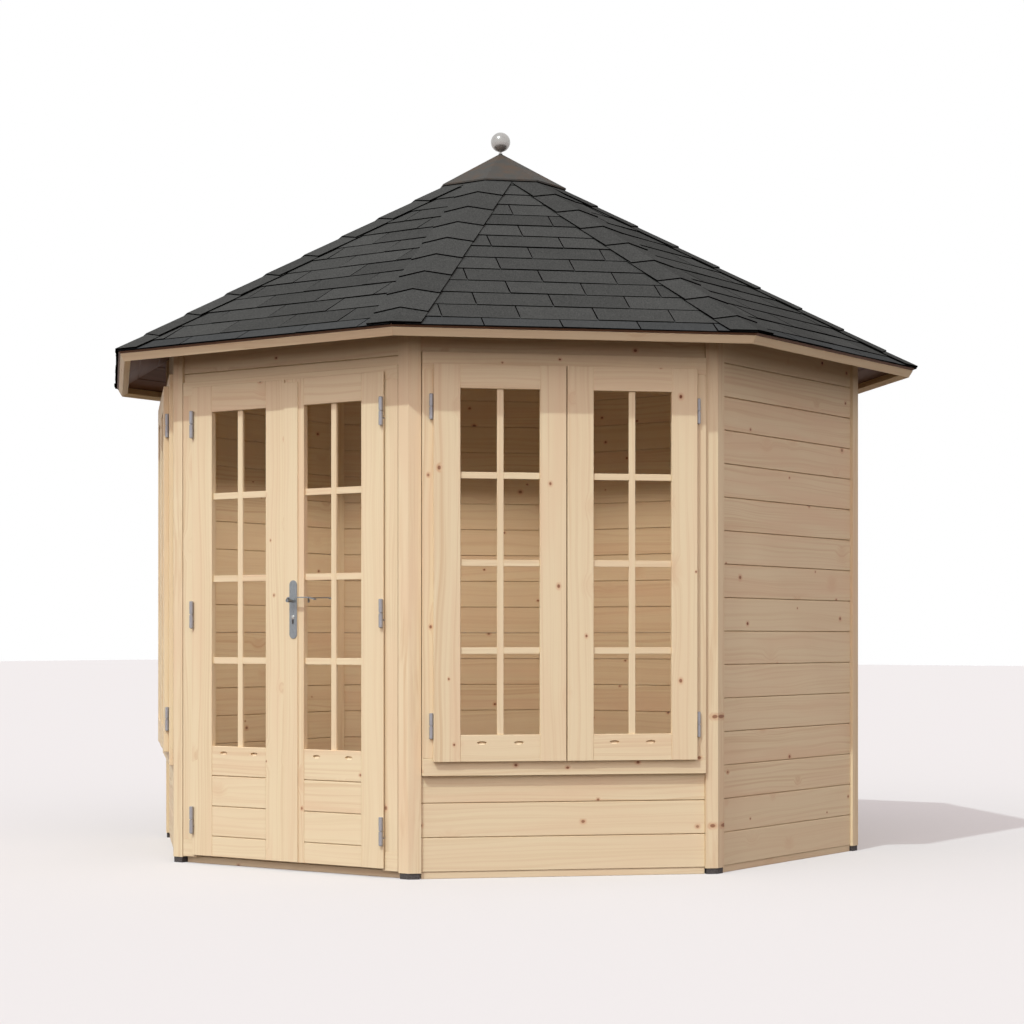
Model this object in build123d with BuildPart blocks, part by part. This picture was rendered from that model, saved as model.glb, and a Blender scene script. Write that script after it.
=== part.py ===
# Garden gazebo: an eight-sided log-board pavilion with a glazed double door, two glazed window
# walls, five plain walls and an eight-sided hipped roof. Millimetres, +Z up, the origin at ground
# level in the middle, the double door facing -Y.
import os
from math import cos, radians, sin, tan

from build123d import *

# Plan and heights
side_count = 8
post_face = 1349.0          # middle of the house to the outer face of a corner post, square to a wall
board_setback = 10.5        # the wall boards lie this far behind the post faces
board_thickness = 28.0
sill_height = 25.0          # base frame under the boards
sill_setback = 4.0          # base frame behind the boards
sill_depth = 36.0
pad_height = 21.0           # foot under each post
pad_inset = 3.0             # pad behind the post faces

# Corner posts
post_wing = 45.0            # visible width of a post on each of its two walls
post_depth = 58.0
board_gap = 0.5             # open joint between a board end and the post
tongue_thickness = 12.0
tongue_reach = 13.0         # how far a board's tongue goes into the post
groove_clearance = 0.3

# Roof
roof_pitch = 30.0
wall_top = 2021.0           # underside of the roof boards over the post faces
eave_overhang = 206.0       # top edge of the roof boards in front of the post faces
roof_board = 12.0
fascia_drop = 32.0
fascia_thickness = 28.0
shingle_thickness = 7.0
shingle_overhang = 7.0
hip_cap_width = 110.0       # on each side of a hip
hip_cap_thickness = 5.0
hip_cap_start = 235.0       # the hip caps stop under the metal cap, this far from the middle
roof_hole = 30.0            # the boards stop this far from the middle
hairline = 0.4              # open joint between like pieces
seat = 0.3                  # clearance of a piece on its seat

# Rafters and the block they meet at
rafter_width = 40.0
rafter_depth = 80.0
king_flat = 60.0            # middle to a flat of the block
king_length = 170.0

# Metal cap and ball
cap_radius = 275.0
cap_rim = 6.0
cap_sheet = 2.0
cap_slant = 1.2             # height of the cap's sheet for each millimetre of it
cap_height = 158.0          # foot of the rim to the tip
cap_neck = 5.0              # radius of the cap's blunt tip
ball_radius = 40.0
ball_gap = 9.0              # from the cap's tip to the ball
spike_radius = 4.0
spike_reach = 60.0          # the spike goes down into the block
trim_margin = 1.0           # cuts run this far past what they cut

# Bays that hold a frame
bay_gap = 2.7               # open joint between a frame and the posts

# Window
window_bottom = 362.0
window_header = 173.0       # boards between the frame and the roof
window_proud = 26.0         # frame in front of the boards
window_depth = 58.0
window_jamb = 60.0
window_rail = 62.0
sash_proud = 20.0           # sash lip in front of the frame
sash_body = 20.0            # part of the sash inside the frame
sash_lap = 23.0             # lip over the jambs
sash_lap_top = 19.0
sash_lap_bottom = 12.0
sash_play = 3.0             # sash body to frame
sash_stile = 94.0
sash_top_rail = 85.0
sash_bottom_rail = 94.0
sash_meeting = 4.0          # open joint between the two sashes

# Glass
glass_thickness = 4.0
glass_bite = 10.0           # width of the rebate that holds a pane
glass_play = 0.3

# Door
door_header = 215.0         # boards between the frame and the roof
door_frame_bottom = 25.0
door_frame_depth = 58.0
door_jamb_face = 67.5       # width of a jamb in front of its stop
door_head_face = 33.0       # height of the head in front of its stop
door_threshold_top = 92.0
door_stop = 17.0            # stop behind the leaf, on each side
door_base_setback = 28.0    # base frame behind the door frame
leaf_gap = 5.0              # body of a leaf to the frame, all round
leaf_foot = 33.0
leaf_proud = 11.0           # leaf in front of the post faces
leaf_thickness = 44.0
leaf_lip = 5.0              # thickness of the lip over the frame
leaf_lap = 12.0             # lip over the jambs and the head
leaf_meeting = 5.0          # open joint between the two leaves
leaf_bevel = 3.0            # the meeting edges slope back by this
leaf_outer_stile = 100.0
leaf_inner_stile = 88.5
leaf_top_rail = 98.0
leaf_glass_bottom = 444.0
strip_width = 62.5
strip_thickness = 5.0
strip_margin = 12.0         # the strip stops short of the leaf's ends

# Door hinges
lower_hinge = 133.0         # above the foot of the leaf
middle_hinge = 901.0        # above the foot of the leaf
upper_hinge = 139.0         # below the head of the leaf
hinge_inset = 5.0           # hinge line inside the leaf's outer edge
knuckle_radius = 7.5
knuckle_length = 48.0
knuckle_split = 0.8         # open joint between the two knuckles
knuckle_gap = 1.0           # knuckle in front of the leaf
pin_radius = 4.0
pin_play = 0.06
pin_length = 40.0
hinge_tip = 12.0
hinge_tip_radius = 2.0
hinge_bolt_radius = 3.5
hinge_bolt_play = 1.5       # notch in the lip round the bolt

# Window hinges
lower_window_hinge = 126.0  # above the foot of the sash
upper_window_hinge = 150.0  # below the head of the sash
window_hinge_radius = 7.0
window_hinge_length = 90.0

# Door handles
plate_width = 37.0
plate_height = 212.0
plate_bottom = 843.0
plate_thickness = 3.0
plate_center = 46.5         # middle of the plate from the middle of the doorway
lever_height = 981.0         # middle of the lever's neck
lever_neck_radius = 7.0
lever_rise = 11.0           # blade of the lever above the middle of its neck
lever_drop = 8.0            # tip below the straight part of the blade
lever_thickness = 4.5
lever_depth = 15.0
lever_reach = 44.0          # outer face of the blade in front of the plate
lever_length = 128.0
lever_tip = 30.0            # sloping end of the blade
lever_bend = 6.0

# What follows from them
corner_angle = 360.0 / side_count
half_corner = corner_angle / 2
pitch = radians(roof_pitch)
slope_out = Vector(cos(pitch), -sin(pitch))
slope_up = Vector(sin(pitch), cos(pitch))
eave_reach = post_face + eave_overhang
eave_height = wall_top + roof_board / cos(pitch) - eave_overhang * tan(pitch)
eave_edge = Vector(eave_reach, eave_height)
bay_half = post_face * tan(radians(half_corner)) - post_wing
board_face = post_face - board_setback
board_back = board_face - board_thickness
door_wall = -2 * corner_angle
window_walls = {"right": -corner_angle, "left": -3 * corner_angle}
plain_walls = {"wall_right": 0 * corner_angle, "wall_back_right": corner_angle, "wall_back": 2 * corner_angle,
               "wall_back_left": 3 * corner_angle, "wall_left": 4 * corner_angle}
post_names = ["post_right_back", "post_back_right", "post_back_left", "post_left_back",
              "post_left_front", "post_door_left", "post_door_right", "post_right_front"]


def radial_plane(angle):
    """Upright plane through the middle: its X runs outwards, its Y upwards."""
    out = Vector(cos(radians(angle)), sin(radians(angle)), 0)
    return Plane(origin=(0, 0, 0), x_dir=out, z_dir=out.cross(Vector(0, 0, 1)))


def wall_plane(angle, face):
    """Upright plane of a wall face: its X runs along the wall, its Y upwards, its Z outwards."""
    out = Vector(cos(radians(angle)), sin(radians(angle)), 0)
    return Plane(origin=out * face, x_dir=Vector(0, 0, 1).cross(out), z_dir=out)


def mitre_plane(angle, side):
    """Upright cut at one end of an eighth of the ring, with half of the hairline joint left open."""
    turn = radians(angle + side * (half_corner - 90.0))
    inward = Vector(cos(turn), sin(turn), 0)
    return Plane(origin=inward * (hairline / 2), z_dir=inward)


def roof_plane(angle, drop):
    """Plane of one roof face, drop below the top of the roof boards."""
    out = Vector(cos(radians(angle)), sin(radians(angle)), 0)
    up = out * sin(pitch) + Vector(0, 0, cos(pitch))
    return Plane(origin=out * eave_reach + Vector(0, 0, eave_height) - up * drop, z_dir=up)


def roof_height(reach, drop):
    """Height of that plane at a distance from the middle, square to its wall."""
    return eave_height + (eave_reach - reach) * tan(pitch) - drop / cos(pitch)


def turned(part, angle):
    """The same piece turned about the middle of the house."""
    with BuildPart() as copy:
        with Locations(Location((0, 0, 0), (0, 0, angle))):
            add(part)
    return copy.part


def all_round(part):
    """One piece for each side of the house."""
    with BuildPart() as ring:
        with PolarLocations(0, side_count):
            add(part)
    return ring.part


def bar(points, half_length):
    """A straight bar along the +X wall, with its section drawn outwards and upwards."""
    with BuildPart() as straight:
        with BuildSketch(radial_plane(0)):
            with BuildLine():
                Polyline(*points, close=True)
            make_face()
        extrude(amount=half_length, both=True)
    return straight.part


def mitred(points):
    """A bar that fills one side of the ring from mitre to mitre."""
    reach = max(point[0] for point in points)
    with BuildPart() as piece:
        add(bar(points, reach * tan(radians(half_corner)) + trim_margin))
        for side in (1, -1):
            split(bisect_by=mitre_plane(0, side), keep=Keep.TOP)
    return piece.part


def keep(part, name):
    part.label = name
    export_step(part, f"parts/{name}.step")


os.makedirs("parts", exist_ok=True)


# Corner posts, their feet and the grooves that take the wall boards
def post_outline(inset):
    """Five-sided section of a post with its outer faces set back by inset."""
    along = Vector(-sin(radians(half_corner)), cos(radians(half_corner)))
    inward = Vector(-cos(radians(half_corner)), -sin(radians(half_corner)))
    nose = Vector((post_face - inset) / cos(radians(half_corner)), 0)
    wing = nose + along * (post_wing - 2 * inset)
    back = wing + inward * (post_depth - 2 * inset)
    return [nose, wing, back, Vector(back.X, -back.Y), Vector(wing.X, -wing.Y)]


groove_width = tongue_thickness + 2 * groove_clearance
groove_reach = board_gap + tongue_reach + groove_clearance
board_middle = board_face - board_thickness / 2

with BuildPart() as post:
    with BuildSketch(Plane.XY.offset(pad_height)):
        with BuildLine():
            Polyline(*post_outline(0), close=True)
        make_face()
    extrude(amount=roof_height(post_face - post_depth, 0))
    for side in (1, -1):
        with BuildSketch(wall_plane(side * half_corner, board_middle - groove_width / 2)):
            with Locations((-side * bay_half, 0)):
                Rectangle(2 * (groove_reach - board_gap), 3 * eave_height)
        extrude(amount=groove_width, mode=Mode.SUBTRACT)
        split(bisect_by=roof_plane(side * half_corner, roof_board + seat), keep=Keep.BOTTOM)
for number, name in enumerate(post_names):
    keep(turned(post.part, half_corner + number * corner_angle), name)

with BuildPart() as pad:
    with BuildSketch():
        with BuildLine():
            Polyline(*post_outline(pad_inset), close=True)
        make_face()
    extrude(amount=pad_height)
keep(turned(all_round(pad.part), half_corner), "post_pads")


# Base frame: one bar between each two posts, set back under the door
def sill_bar(face):
    return bar([(face - sill_depth, 0), (face, 0), (face, sill_height), (face - sill_depth, sill_height)],
               bay_half - board_gap)


board_sill = sill_bar(board_face - sill_setback)
door_sill_bar = sill_bar(post_face - door_base_setback)
with BuildPart() as base_frame:
    for number in range(side_count):
        with Locations(Location((0, 0, 0), (0, 0, door_wall + number * corner_angle))):
            add(board_sill if number else door_sill_bar)
keep(base_frame.part, "base_frame")


# Wall boards, as one slab a bay with a tongue at each end
def boards(bottom, top=None):
    """Boards from bottom up to a level top, or to the slope of the roof."""
    def section(back, face):
        if top is None:
            upper = [(reach, roof_height(reach, roof_board + seat)) for reach in (face, back)]
        else:
            upper = [(face, top), (back, top)]
        return [(back, bottom), (face, bottom)] + upper
    with BuildPart() as slab:
        add(bar(section(board_back, board_face), bay_half - board_gap))
        add(bar(section(board_middle - tongue_thickness / 2, board_middle + tongue_thickness / 2),
                bay_half + tongue_reach))
    return slab.part


window_top = wall_top - window_header
door_frame_top = wall_top - door_header

plain = boards(sill_height)
for name, angle in plain_walls.items():
    keep(turned(plain, angle), name)

with BuildPart() as aprons:
    for angle in window_walls.values():
        add(turned(boards(sill_height, window_bottom), angle))
keep(aprons.part, "window_aprons")

with BuildPart() as headers:
    for angle in window_walls.values():
        add(turned(boards(window_top), angle))
    add(turned(boards(door_frame_top), door_wall))
keep(headers.part, "wall_headers")

# Window frames and their two sashes
frame_face = board_face + window_proud
frame_half = bay_half - bay_gap
window_middle = (window_bottom + window_top) / 2
light_half = frame_half - window_jamb
light_bottom = window_bottom + window_rail
light_top = window_top - window_rail
with BuildPart() as window_frame:
    with BuildSketch(wall_plane(0, frame_face - window_depth)):
        with Locations((0, window_middle)):
            Rectangle(2 * frame_half, window_top - window_bottom)
            Rectangle(2 * light_half, light_top - light_bottom, mode=Mode.SUBTRACT)
    extrude(amount=window_depth)

sash_inner = sash_meeting / 2
sash_outer = light_half + sash_lap
sash_bottom = light_bottom - sash_lap_bottom
sash_top = light_top + sash_lap_top
pane_left = sash_inner + sash_stile
pane_right = sash_outer - sash_stile
pane_bottom = sash_bottom + sash_bottom_rail
pane_top = sash_top - sash_top_rail


def box_between(angle, face, left, right, bottom, top, depth, mode=Mode.ADD):
    """Block in a wall, measured along it, upwards, and depth inwards from face."""
    with BuildSketch(wall_plane(angle, face - depth)) as block:
        with Locations(((left + right) / 2, (bottom + top) / 2)):
            Rectangle(right - left, top - bottom)
    extrude(block.sketch, amount=depth, mode=mode)


sash_glass = frame_face + glass_thickness / 2
with BuildPart() as sash:
    box_between(0, frame_face + sash_proud, sash_inner, sash_outer, sash_bottom, sash_top, sash_proud)
    box_between(0, frame_face, sash_inner, light_half - sash_play, light_bottom + sash_play,
                light_top - sash_play, sash_body)
    box_between(0, frame_face + sash_proud, pane_left, pane_right, pane_bottom, pane_top,
                sash_proud + sash_body, Mode.SUBTRACT)
    box_between(0, sash_glass + glass_play, pane_left - glass_bite, pane_right + glass_bite,
                pane_bottom - glass_bite, pane_top + glass_bite, sash_body + sash_proud, Mode.SUBTRACT)
with BuildPart() as sash_pair:
    add(sash.part)
    mirror(about=Plane.XZ)

pane_margin = glass_bite - glass_play
with BuildPart() as window_pane:
    box_between(0, sash_glass, pane_left - pane_margin, pane_right + pane_margin,
                pane_bottom - pane_margin, pane_top + pane_margin, glass_thickness)
    mirror(about=Plane.XZ)

with BuildPart() as window_hinge:
    for height in (sash_bottom + lower_window_hinge, sash_top - upper_window_hinge):
        with BuildSketch(Plane.XY.offset(height - window_hinge_length / 2)):
            with Locations((frame_face + window_hinge_radius, sash_outer + window_hinge_radius + seat)):
                Circle(window_hinge_radius)
        extrude(amount=window_hinge_length)
    mirror(about=Plane.XZ)

for side, angle in window_walls.items():
    keep(turned(window_frame.part, angle), f"window_frame_{side}")
    keep(turned(sash_pair.part, angle), f"window_sashes_{side}")
with BuildPart() as window_glass:
    for angle in window_walls.values():
        add(turned(window_pane.part, angle))
keep(window_glass.part, "window_glass")
with BuildPart() as window_hinges:
    for angle in window_walls.values():
        add(turned(window_hinge.part, angle))
keep(window_hinges.part, "window_hinges")

# Door frame: rebated jambs and head on a threshold behind the leaves
leaf_face = post_face + leaf_proud
leaf_back = leaf_face - leaf_thickness
lip_back = leaf_face - leaf_lip
rebate_back = leaf_back - leaf_gap
rebate_depth = post_face - rebate_back
opening_half = frame_half - door_jamb_face
opening_top = door_frame_top - door_head_face

with BuildPart() as door_jamb:
    box_between(door_wall, post_face, opening_half - door_stop, frame_half, door_threshold_top,
                opening_top - door_stop, door_frame_depth)
    box_between(door_wall, post_face, opening_half - door_stop, opening_half, door_threshold_top,
                opening_top - door_stop, rebate_depth, Mode.SUBTRACT)
keep(door_jamb.part, "door_jamb_right")
keep(mirror(door_jamb.part, about=Plane.YZ), "door_jamb_left")

with BuildPart() as door_head:
    box_between(door_wall, post_face, -frame_half, frame_half, opening_top - door_stop, door_frame_top,
                door_frame_depth)
    box_between(door_wall, post_face, -opening_half, opening_half, opening_top - door_stop, opening_top,
                rebate_depth, Mode.SUBTRACT)
keep(door_head.part, "door_head")

with BuildPart() as door_threshold:
    box_between(door_wall, post_face, -frame_half, frame_half, door_frame_bottom, door_threshold_top,
                door_frame_depth)
    box_between(door_wall, post_face, -opening_half, opening_half, door_frame_bottom, door_threshold_top,
                rebate_depth, Mode.SUBTRACT)
keep(door_threshold.part, "door_threshold")

# Door leaves, glazed above and boarded below, with a lip that laps over the frame
leaf_inner = leaf_meeting / 2
leaf_body = opening_half - leaf_gap
leaf_body_top = opening_top - leaf_gap
leaf_outer = opening_half + leaf_lap
leaf_head = opening_top + leaf_lap
leaf_glass_left = leaf_inner + leaf_inner_stile
leaf_glass_right = leaf_outer - leaf_outer_stile
leaf_glass_top = leaf_head - leaf_top_rail
leaf_glass_face = leaf_face - leaf_thickness / 2 + glass_thickness / 2
hinge_heights = (leaf_foot + lower_hinge, leaf_foot + middle_hinge, leaf_head - upper_hinge)
hinge_x = leaf_outer - hinge_inset
hinge_y = -(leaf_face + knuckle_gap + knuckle_radius)
bolt_drop = knuckle_split / 2 + knuckle_length / 2
notch_half = hinge_bolt_radius + hinge_bolt_play
with BuildPart() as leaf:
    with BuildSketch(Plane.XY.offset(leaf_foot)):
        with BuildLine():
            Polyline((leaf_inner, -leaf_face), (leaf_outer, -leaf_face), (leaf_outer, -lip_back),
                     (leaf_body, -lip_back), (leaf_body, -leaf_back),
                     (leaf_inner + leaf_bevel, -leaf_back), close=True)
        make_face()
    extrude(amount=leaf_head - leaf_foot)
    box_between(door_wall, lip_back, 0, leaf_outer, leaf_body_top, leaf_head, leaf_thickness, Mode.SUBTRACT)
    box_between(door_wall, leaf_face, leaf_glass_left, leaf_glass_right, leaf_glass_bottom,
                leaf_glass_top, leaf_thickness, Mode.SUBTRACT)
    box_between(door_wall, leaf_glass_face + glass_play, leaf_glass_left - glass_bite,
                leaf_glass_right + glass_bite, leaf_glass_bottom - glass_bite,
                leaf_glass_top + glass_bite, leaf_thickness, Mode.SUBTRACT)
    for height in hinge_heights:
        box_between(door_wall, leaf_face, hinge_x - notch_half, leaf_outer, height - bolt_drop - notch_half,
                    height - bolt_drop + notch_half, leaf_lip, Mode.SUBTRACT)
with BuildPart() as leaf_pane:
    box_between(door_wall, leaf_glass_face, leaf_glass_left - pane_margin, leaf_glass_right + pane_margin,
                leaf_glass_bottom - pane_margin, leaf_glass_top + pane_margin, glass_thickness)
with BuildPart() as meeting_strip:
    box_between(door_wall, leaf_face + strip_thickness, leaf_inner, leaf_inner + strip_width,
                leaf_foot + strip_margin, leaf_head - strip_margin, strip_thickness)
keep(meeting_strip.part, "meeting_strip")


# Door hinges: the lower knuckle and its pin bolted to the jamb, the upper one bolted to the leaf
def hinge_bolt(height, face):
    """Round bolt from the hinge line back to a face."""
    with BuildSketch(wall_plane(door_wall, face)) as end:
        with Locations((hinge_x, height)):
            Circle(hinge_bolt_radius)
    extrude(end.sketch, amount=-hinge_y - face)


with BuildPart() as fixed_hinges:
    for height in hinge_heights:
        foot = height - knuckle_split / 2 - knuckle_length
        with Locations((hinge_x, hinge_y, foot)):
            Cylinder(knuckle_radius, knuckle_length, align=(Align.CENTER, Align.CENTER, Align.MIN))
            Cylinder(pin_radius, knuckle_length + pin_length, align=(Align.CENTER, Align.CENTER, Align.MIN))
            Cone(hinge_tip_radius, knuckle_radius, hinge_tip, align=(Align.CENTER, Align.CENTER, Align.MAX))
        hinge_bolt(height - bolt_drop, post_face)
with BuildPart() as moving_hinges:
    for height in hinge_heights:
        hinge_bolt(height + bolt_drop, leaf_face)
        with Locations((hinge_x, hinge_y, height + knuckle_split / 2)):
            Cylinder(knuckle_radius, knuckle_length, align=(Align.CENTER, Align.CENTER, Align.MIN))
            Cylinder(pin_radius + pin_play, pin_length + trim_margin, mode=Mode.SUBTRACT,
                     align=(Align.CENTER, Align.CENTER, Align.MIN))

moving_pieces = {"door_leaf": leaf.part, "door_glass": leaf_pane.part, "door_hinges": moving_hinges.part}
for name, piece in moving_pieces.items():
    keep(piece, f"{name}_right")
    keep(mirror(piece, about=Plane.YZ), f"{name}_left")
with BuildPart() as frame_hinges:
    add(fixed_hinges.part)
    add(mirror(fixed_hinges.part, about=Plane.YZ))
keep(frame_hinges.part, "frame_hinges")


# Door handles: a long rounded plate and a lever on each face of the right leaf
def handle(face, outward):
    """Handle on a face of the leaf; outward is 1 in front of it and -1 behind it."""
    plate_middle = plate_bottom + plate_height / 2
    front = face + outward * plate_thickness
    end = front + outward * lever_reach
    blade = lever_height + lever_rise
    with BuildPart() as grip:
        with BuildSketch(wall_plane(door_wall, face)):
            with Locations((plate_center, plate_middle)):
                SlotOverall(plate_height, plate_width, rotation=90)
        extrude(amount=outward * plate_thickness)
        with BuildSketch(wall_plane(door_wall, front)):
            with Locations((plate_center, lever_height)):
                Circle(lever_neck_radius)
        extrude(amount=outward * lever_reach)
        with BuildSketch(wall_plane(door_wall, end)):
            with BuildLine():
                FilletPolyline((plate_center, lever_height), (plate_center, blade),
                               (plate_center + lever_length - lever_tip, blade),
                               (plate_center + lever_length, blade - lever_drop), radius=lever_bend)
            trace(line_width=lever_thickness)
        extrude(amount=-outward * lever_depth)
    return grip.part


with BuildPart() as door_handles:
    add(handle(leaf_face + strip_thickness, 1))
    add(handle(leaf_back, -1))
keep(door_handles.part, "door_handles")

# Roof: boards, shingles, hip caps and the fascia under the eaves
def roof_section(low, high, reach_out, inner=roof_hole):
    """Section of a roof layer between two heights above the boards' top, from the middle to the eaves."""
    low_edge = eave_edge + slope_up * low + slope_out * reach_out
    high_edge = eave_edge + slope_up * high + slope_out * reach_out
    return [(inner, roof_height(inner, -low)), (low_edge.X, low_edge.Y), (high_edge.X, high_edge.Y),
            (inner, roof_height(inner, -high))]


keep(all_round(mitred(roof_section(-roof_board, 0, 0))), "roof_boards")
keep(all_round(mitred(roof_section(0, shingle_thickness, shingle_overhang))), "roof_shingles")

fascia_top = eave_edge - slope_up * roof_board
fascia_points = [fascia_top, fascia_top - slope_up * fascia_drop,
                 fascia_top - slope_up * fascia_drop - slope_out * fascia_thickness,
                 fascia_top - slope_out * fascia_thickness]
keep(all_round(mitred([(point.X, point.Y) for point in fascia_points])), "fascia")

# Each hip cap is the folded strip of the next roof layer that lies within its width of the hip
with BuildPart() as hip_cap:
    with Locations(Location((0, 0, 0), (0, 0, half_corner))):
        add(bar(roof_section(shingle_thickness, shingle_thickness + hip_cap_thickness, shingle_overhang,
                             hip_cap_start), eave_reach))
    split(bisect_by=Plane(origin=(0, 0, 0), z_dir=(0, 1, 0)), keep=Keep.TOP)
    split(bisect_by=mitre_plane(0, 1), keep=Keep.TOP)
    with BuildSketch(Plane.XY.offset(eave_height - 2 * fascia_drop)):
        with Locations((eave_reach, 0)):
            Rectangle(2 * eave_reach, 2 * hip_cap_width)
    extrude(amount=eave_height, mode=Mode.INTERSECT)
    mirror(about=Plane.XZ)
keep(turned(all_round(hip_cap.part), half_corner), "hip_caps")

# Hip rafters, and the eight-sided block that they meet at
hip_ratio = cos(radians(half_corner))
rafter_outer = post_outline(0)[2].X - seat


def hip_height(reach):
    return roof_height(reach * hip_ratio, roof_board + seat)


with BuildPart() as rafter:
    with BuildSketch(radial_plane(0)):
        with BuildLine():
            Polyline((king_flat, hip_height(king_flat)), (rafter_outer, hip_height(rafter_outer)),
                     (rafter_outer, hip_height(rafter_outer) - rafter_depth),
                     (king_flat, hip_height(king_flat) - rafter_depth), close=True)
        make_face()
    extrude(amount=rafter_width / 2, both=True)
    for side in (1, -1):
        split(bisect_by=roof_plane(side * half_corner, roof_board + seat), keep=Keep.BOTTOM)
keep(turned(all_round(rafter.part), half_corner), "hip_rafters")

king_top = roof_height(king_flat / hip_ratio, roof_board + seat)
with BuildPart() as king_block:
    with BuildSketch(Plane.XY.offset(king_top - king_length)):
        RegularPolygon(king_flat, side_count, major_radius=False, rotation=0)
    extrude(amount=king_length)
    with BuildSketch(Plane.XY.offset(king_top)):
        Circle(spike_radius + seat)
    extrude(amount=-spike_reach, mode=Mode.SUBTRACT)
keep(king_block.part, "king_block")

# Folded metal cap on the peak, and the ball on its spike
cap_foot = roof_height((cap_radius - cap_sheet) * hip_ratio, -(shingle_thickness + hip_cap_thickness)) + seat
cap_top = cap_foot + cap_height


def cap_shape(shrink, mode):
    """Eight-sided cap with an upright rim; shrink insets it for the hollow inside."""
    with BuildSketch(Plane.XY.offset(cap_foot)) as rim:
        RegularPolygon(cap_radius - shrink, side_count, rotation=half_corner)
    extrude(rim.sketch, amount=cap_rim, mode=mode)
    with BuildSketch(Plane.XY.offset(cap_foot + cap_rim)) as fold:
        RegularPolygon(cap_radius - shrink, side_count, rotation=half_corner)
    with BuildSketch(Plane.XY.offset(cap_top - cap_slant * shrink)) as tip:
        RegularPolygon(cap_neck, side_count, rotation=half_corner)
    loft([fold.sketch, tip.sketch], mode=mode)


with BuildPart() as roof_cap:
    cap_shape(0, Mode.ADD)
    cap_shape(cap_sheet, Mode.SUBTRACT)
    with BuildSketch(Plane.XY.offset(cap_foot)):
        Circle(spike_radius + seat)
    extrude(amount=cap_top, mode=Mode.SUBTRACT)
keep(roof_cap.part, "roof_cap")

with BuildPart() as finial:
    with Locations((0, 0, cap_top + ball_gap + ball_radius)):
        Sphere(ball_radius)
    with BuildSketch(Plane.XY.offset(king_top - spike_reach + seat)):
        Circle(spike_radius)
    extrude(amount=cap_top + ball_gap + ball_radius - king_top + spike_reach)
keep(finial.part, "finial_ball")
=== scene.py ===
import math
import random

import bmesh
import bpy
from mathutils import Matrix, Vector


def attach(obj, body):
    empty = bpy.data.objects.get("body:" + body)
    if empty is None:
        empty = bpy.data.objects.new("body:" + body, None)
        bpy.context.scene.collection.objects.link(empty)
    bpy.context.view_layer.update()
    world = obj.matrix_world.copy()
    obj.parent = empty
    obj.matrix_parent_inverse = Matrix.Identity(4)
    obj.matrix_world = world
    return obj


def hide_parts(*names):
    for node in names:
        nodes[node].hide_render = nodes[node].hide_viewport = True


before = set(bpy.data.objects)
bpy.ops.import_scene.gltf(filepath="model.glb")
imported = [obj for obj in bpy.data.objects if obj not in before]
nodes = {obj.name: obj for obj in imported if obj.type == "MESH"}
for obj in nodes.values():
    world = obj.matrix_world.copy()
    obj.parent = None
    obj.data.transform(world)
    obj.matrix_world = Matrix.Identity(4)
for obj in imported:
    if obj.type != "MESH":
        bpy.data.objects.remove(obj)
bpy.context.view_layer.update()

print("frame loaded:", len(nodes), "nodes")

# Lengths are written in millimetres and turned into metres when a mesh is made.
# A wall's own axes are: along it (to the right seen from outside), outwards, up.
house = {
    "turn": 45.0,            # degrees from wall to wall
    "postFace": 1349.0, "postWing": 45.0, "postDepth": 58.0,
    "boardFace": 1338.5, "boardBack": 1310.5, "boardHalf": 513.27,
    "sillTop": 25.0, "course": 121.0,
    "pitch": 30.0, "eaveReach": 1555.0, "eaveHeight": 1915.92,
    "roofBoard": 12.0, "seat": 0.3,
}
doorWall = -90.0
windowWalls = {"right": -45.0, "left": -135.0}
plainWalls = {"wall_right": 0.0, "wall_back_right": 45.0, "wall_back": 90.0,
              "wall_back_left": 135.0, "wall_left": 180.0}
sides = {"right": 1, "left": -1}
slope = math.radians(house["pitch"])
halfTurn = math.radians(house["turn"] / 2)
roofUnder = house["roofBoard"] + house["seat"]


def roofHeight(reach, drop=0.0):
    # height of a roof face, drop below the boards' top, at a distance from the middle
    return house["eaveHeight"] + (house["eaveReach"] - reach) * math.tan(slope) - drop / math.cos(slope)


def wallMatrix(angle):
    a = math.radians(angle)
    along, out = Vector((-math.sin(a), math.cos(a), 0)), Vector((math.cos(a), math.sin(a), 0))
    return Matrix((along, out, Vector((0, 0, 1)))).transposed().to_4x4()


def cornerMatrix(number):
    # turns what is drawn on the +X side to one of the eight corners
    return Matrix.Rotation(math.radians(house["turn"] * (number + 0.5)), 4, "Z")


def direction(azimuth, height):
    a, e = math.radians(azimuth), math.radians(height)
    return Vector((math.cos(e) * math.cos(a), math.cos(e) * math.sin(a), math.sin(e)))


def addObject(name, data):
    obj = bpy.data.objects.new(name, data)
    bpy.context.scene.collection.objects.link(obj)
    return obj


def spread(mirror, *values):
    # places along a wall from left to right, on its right side or mirrored to its left
    return sorted(mirror * v for v in values)


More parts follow.
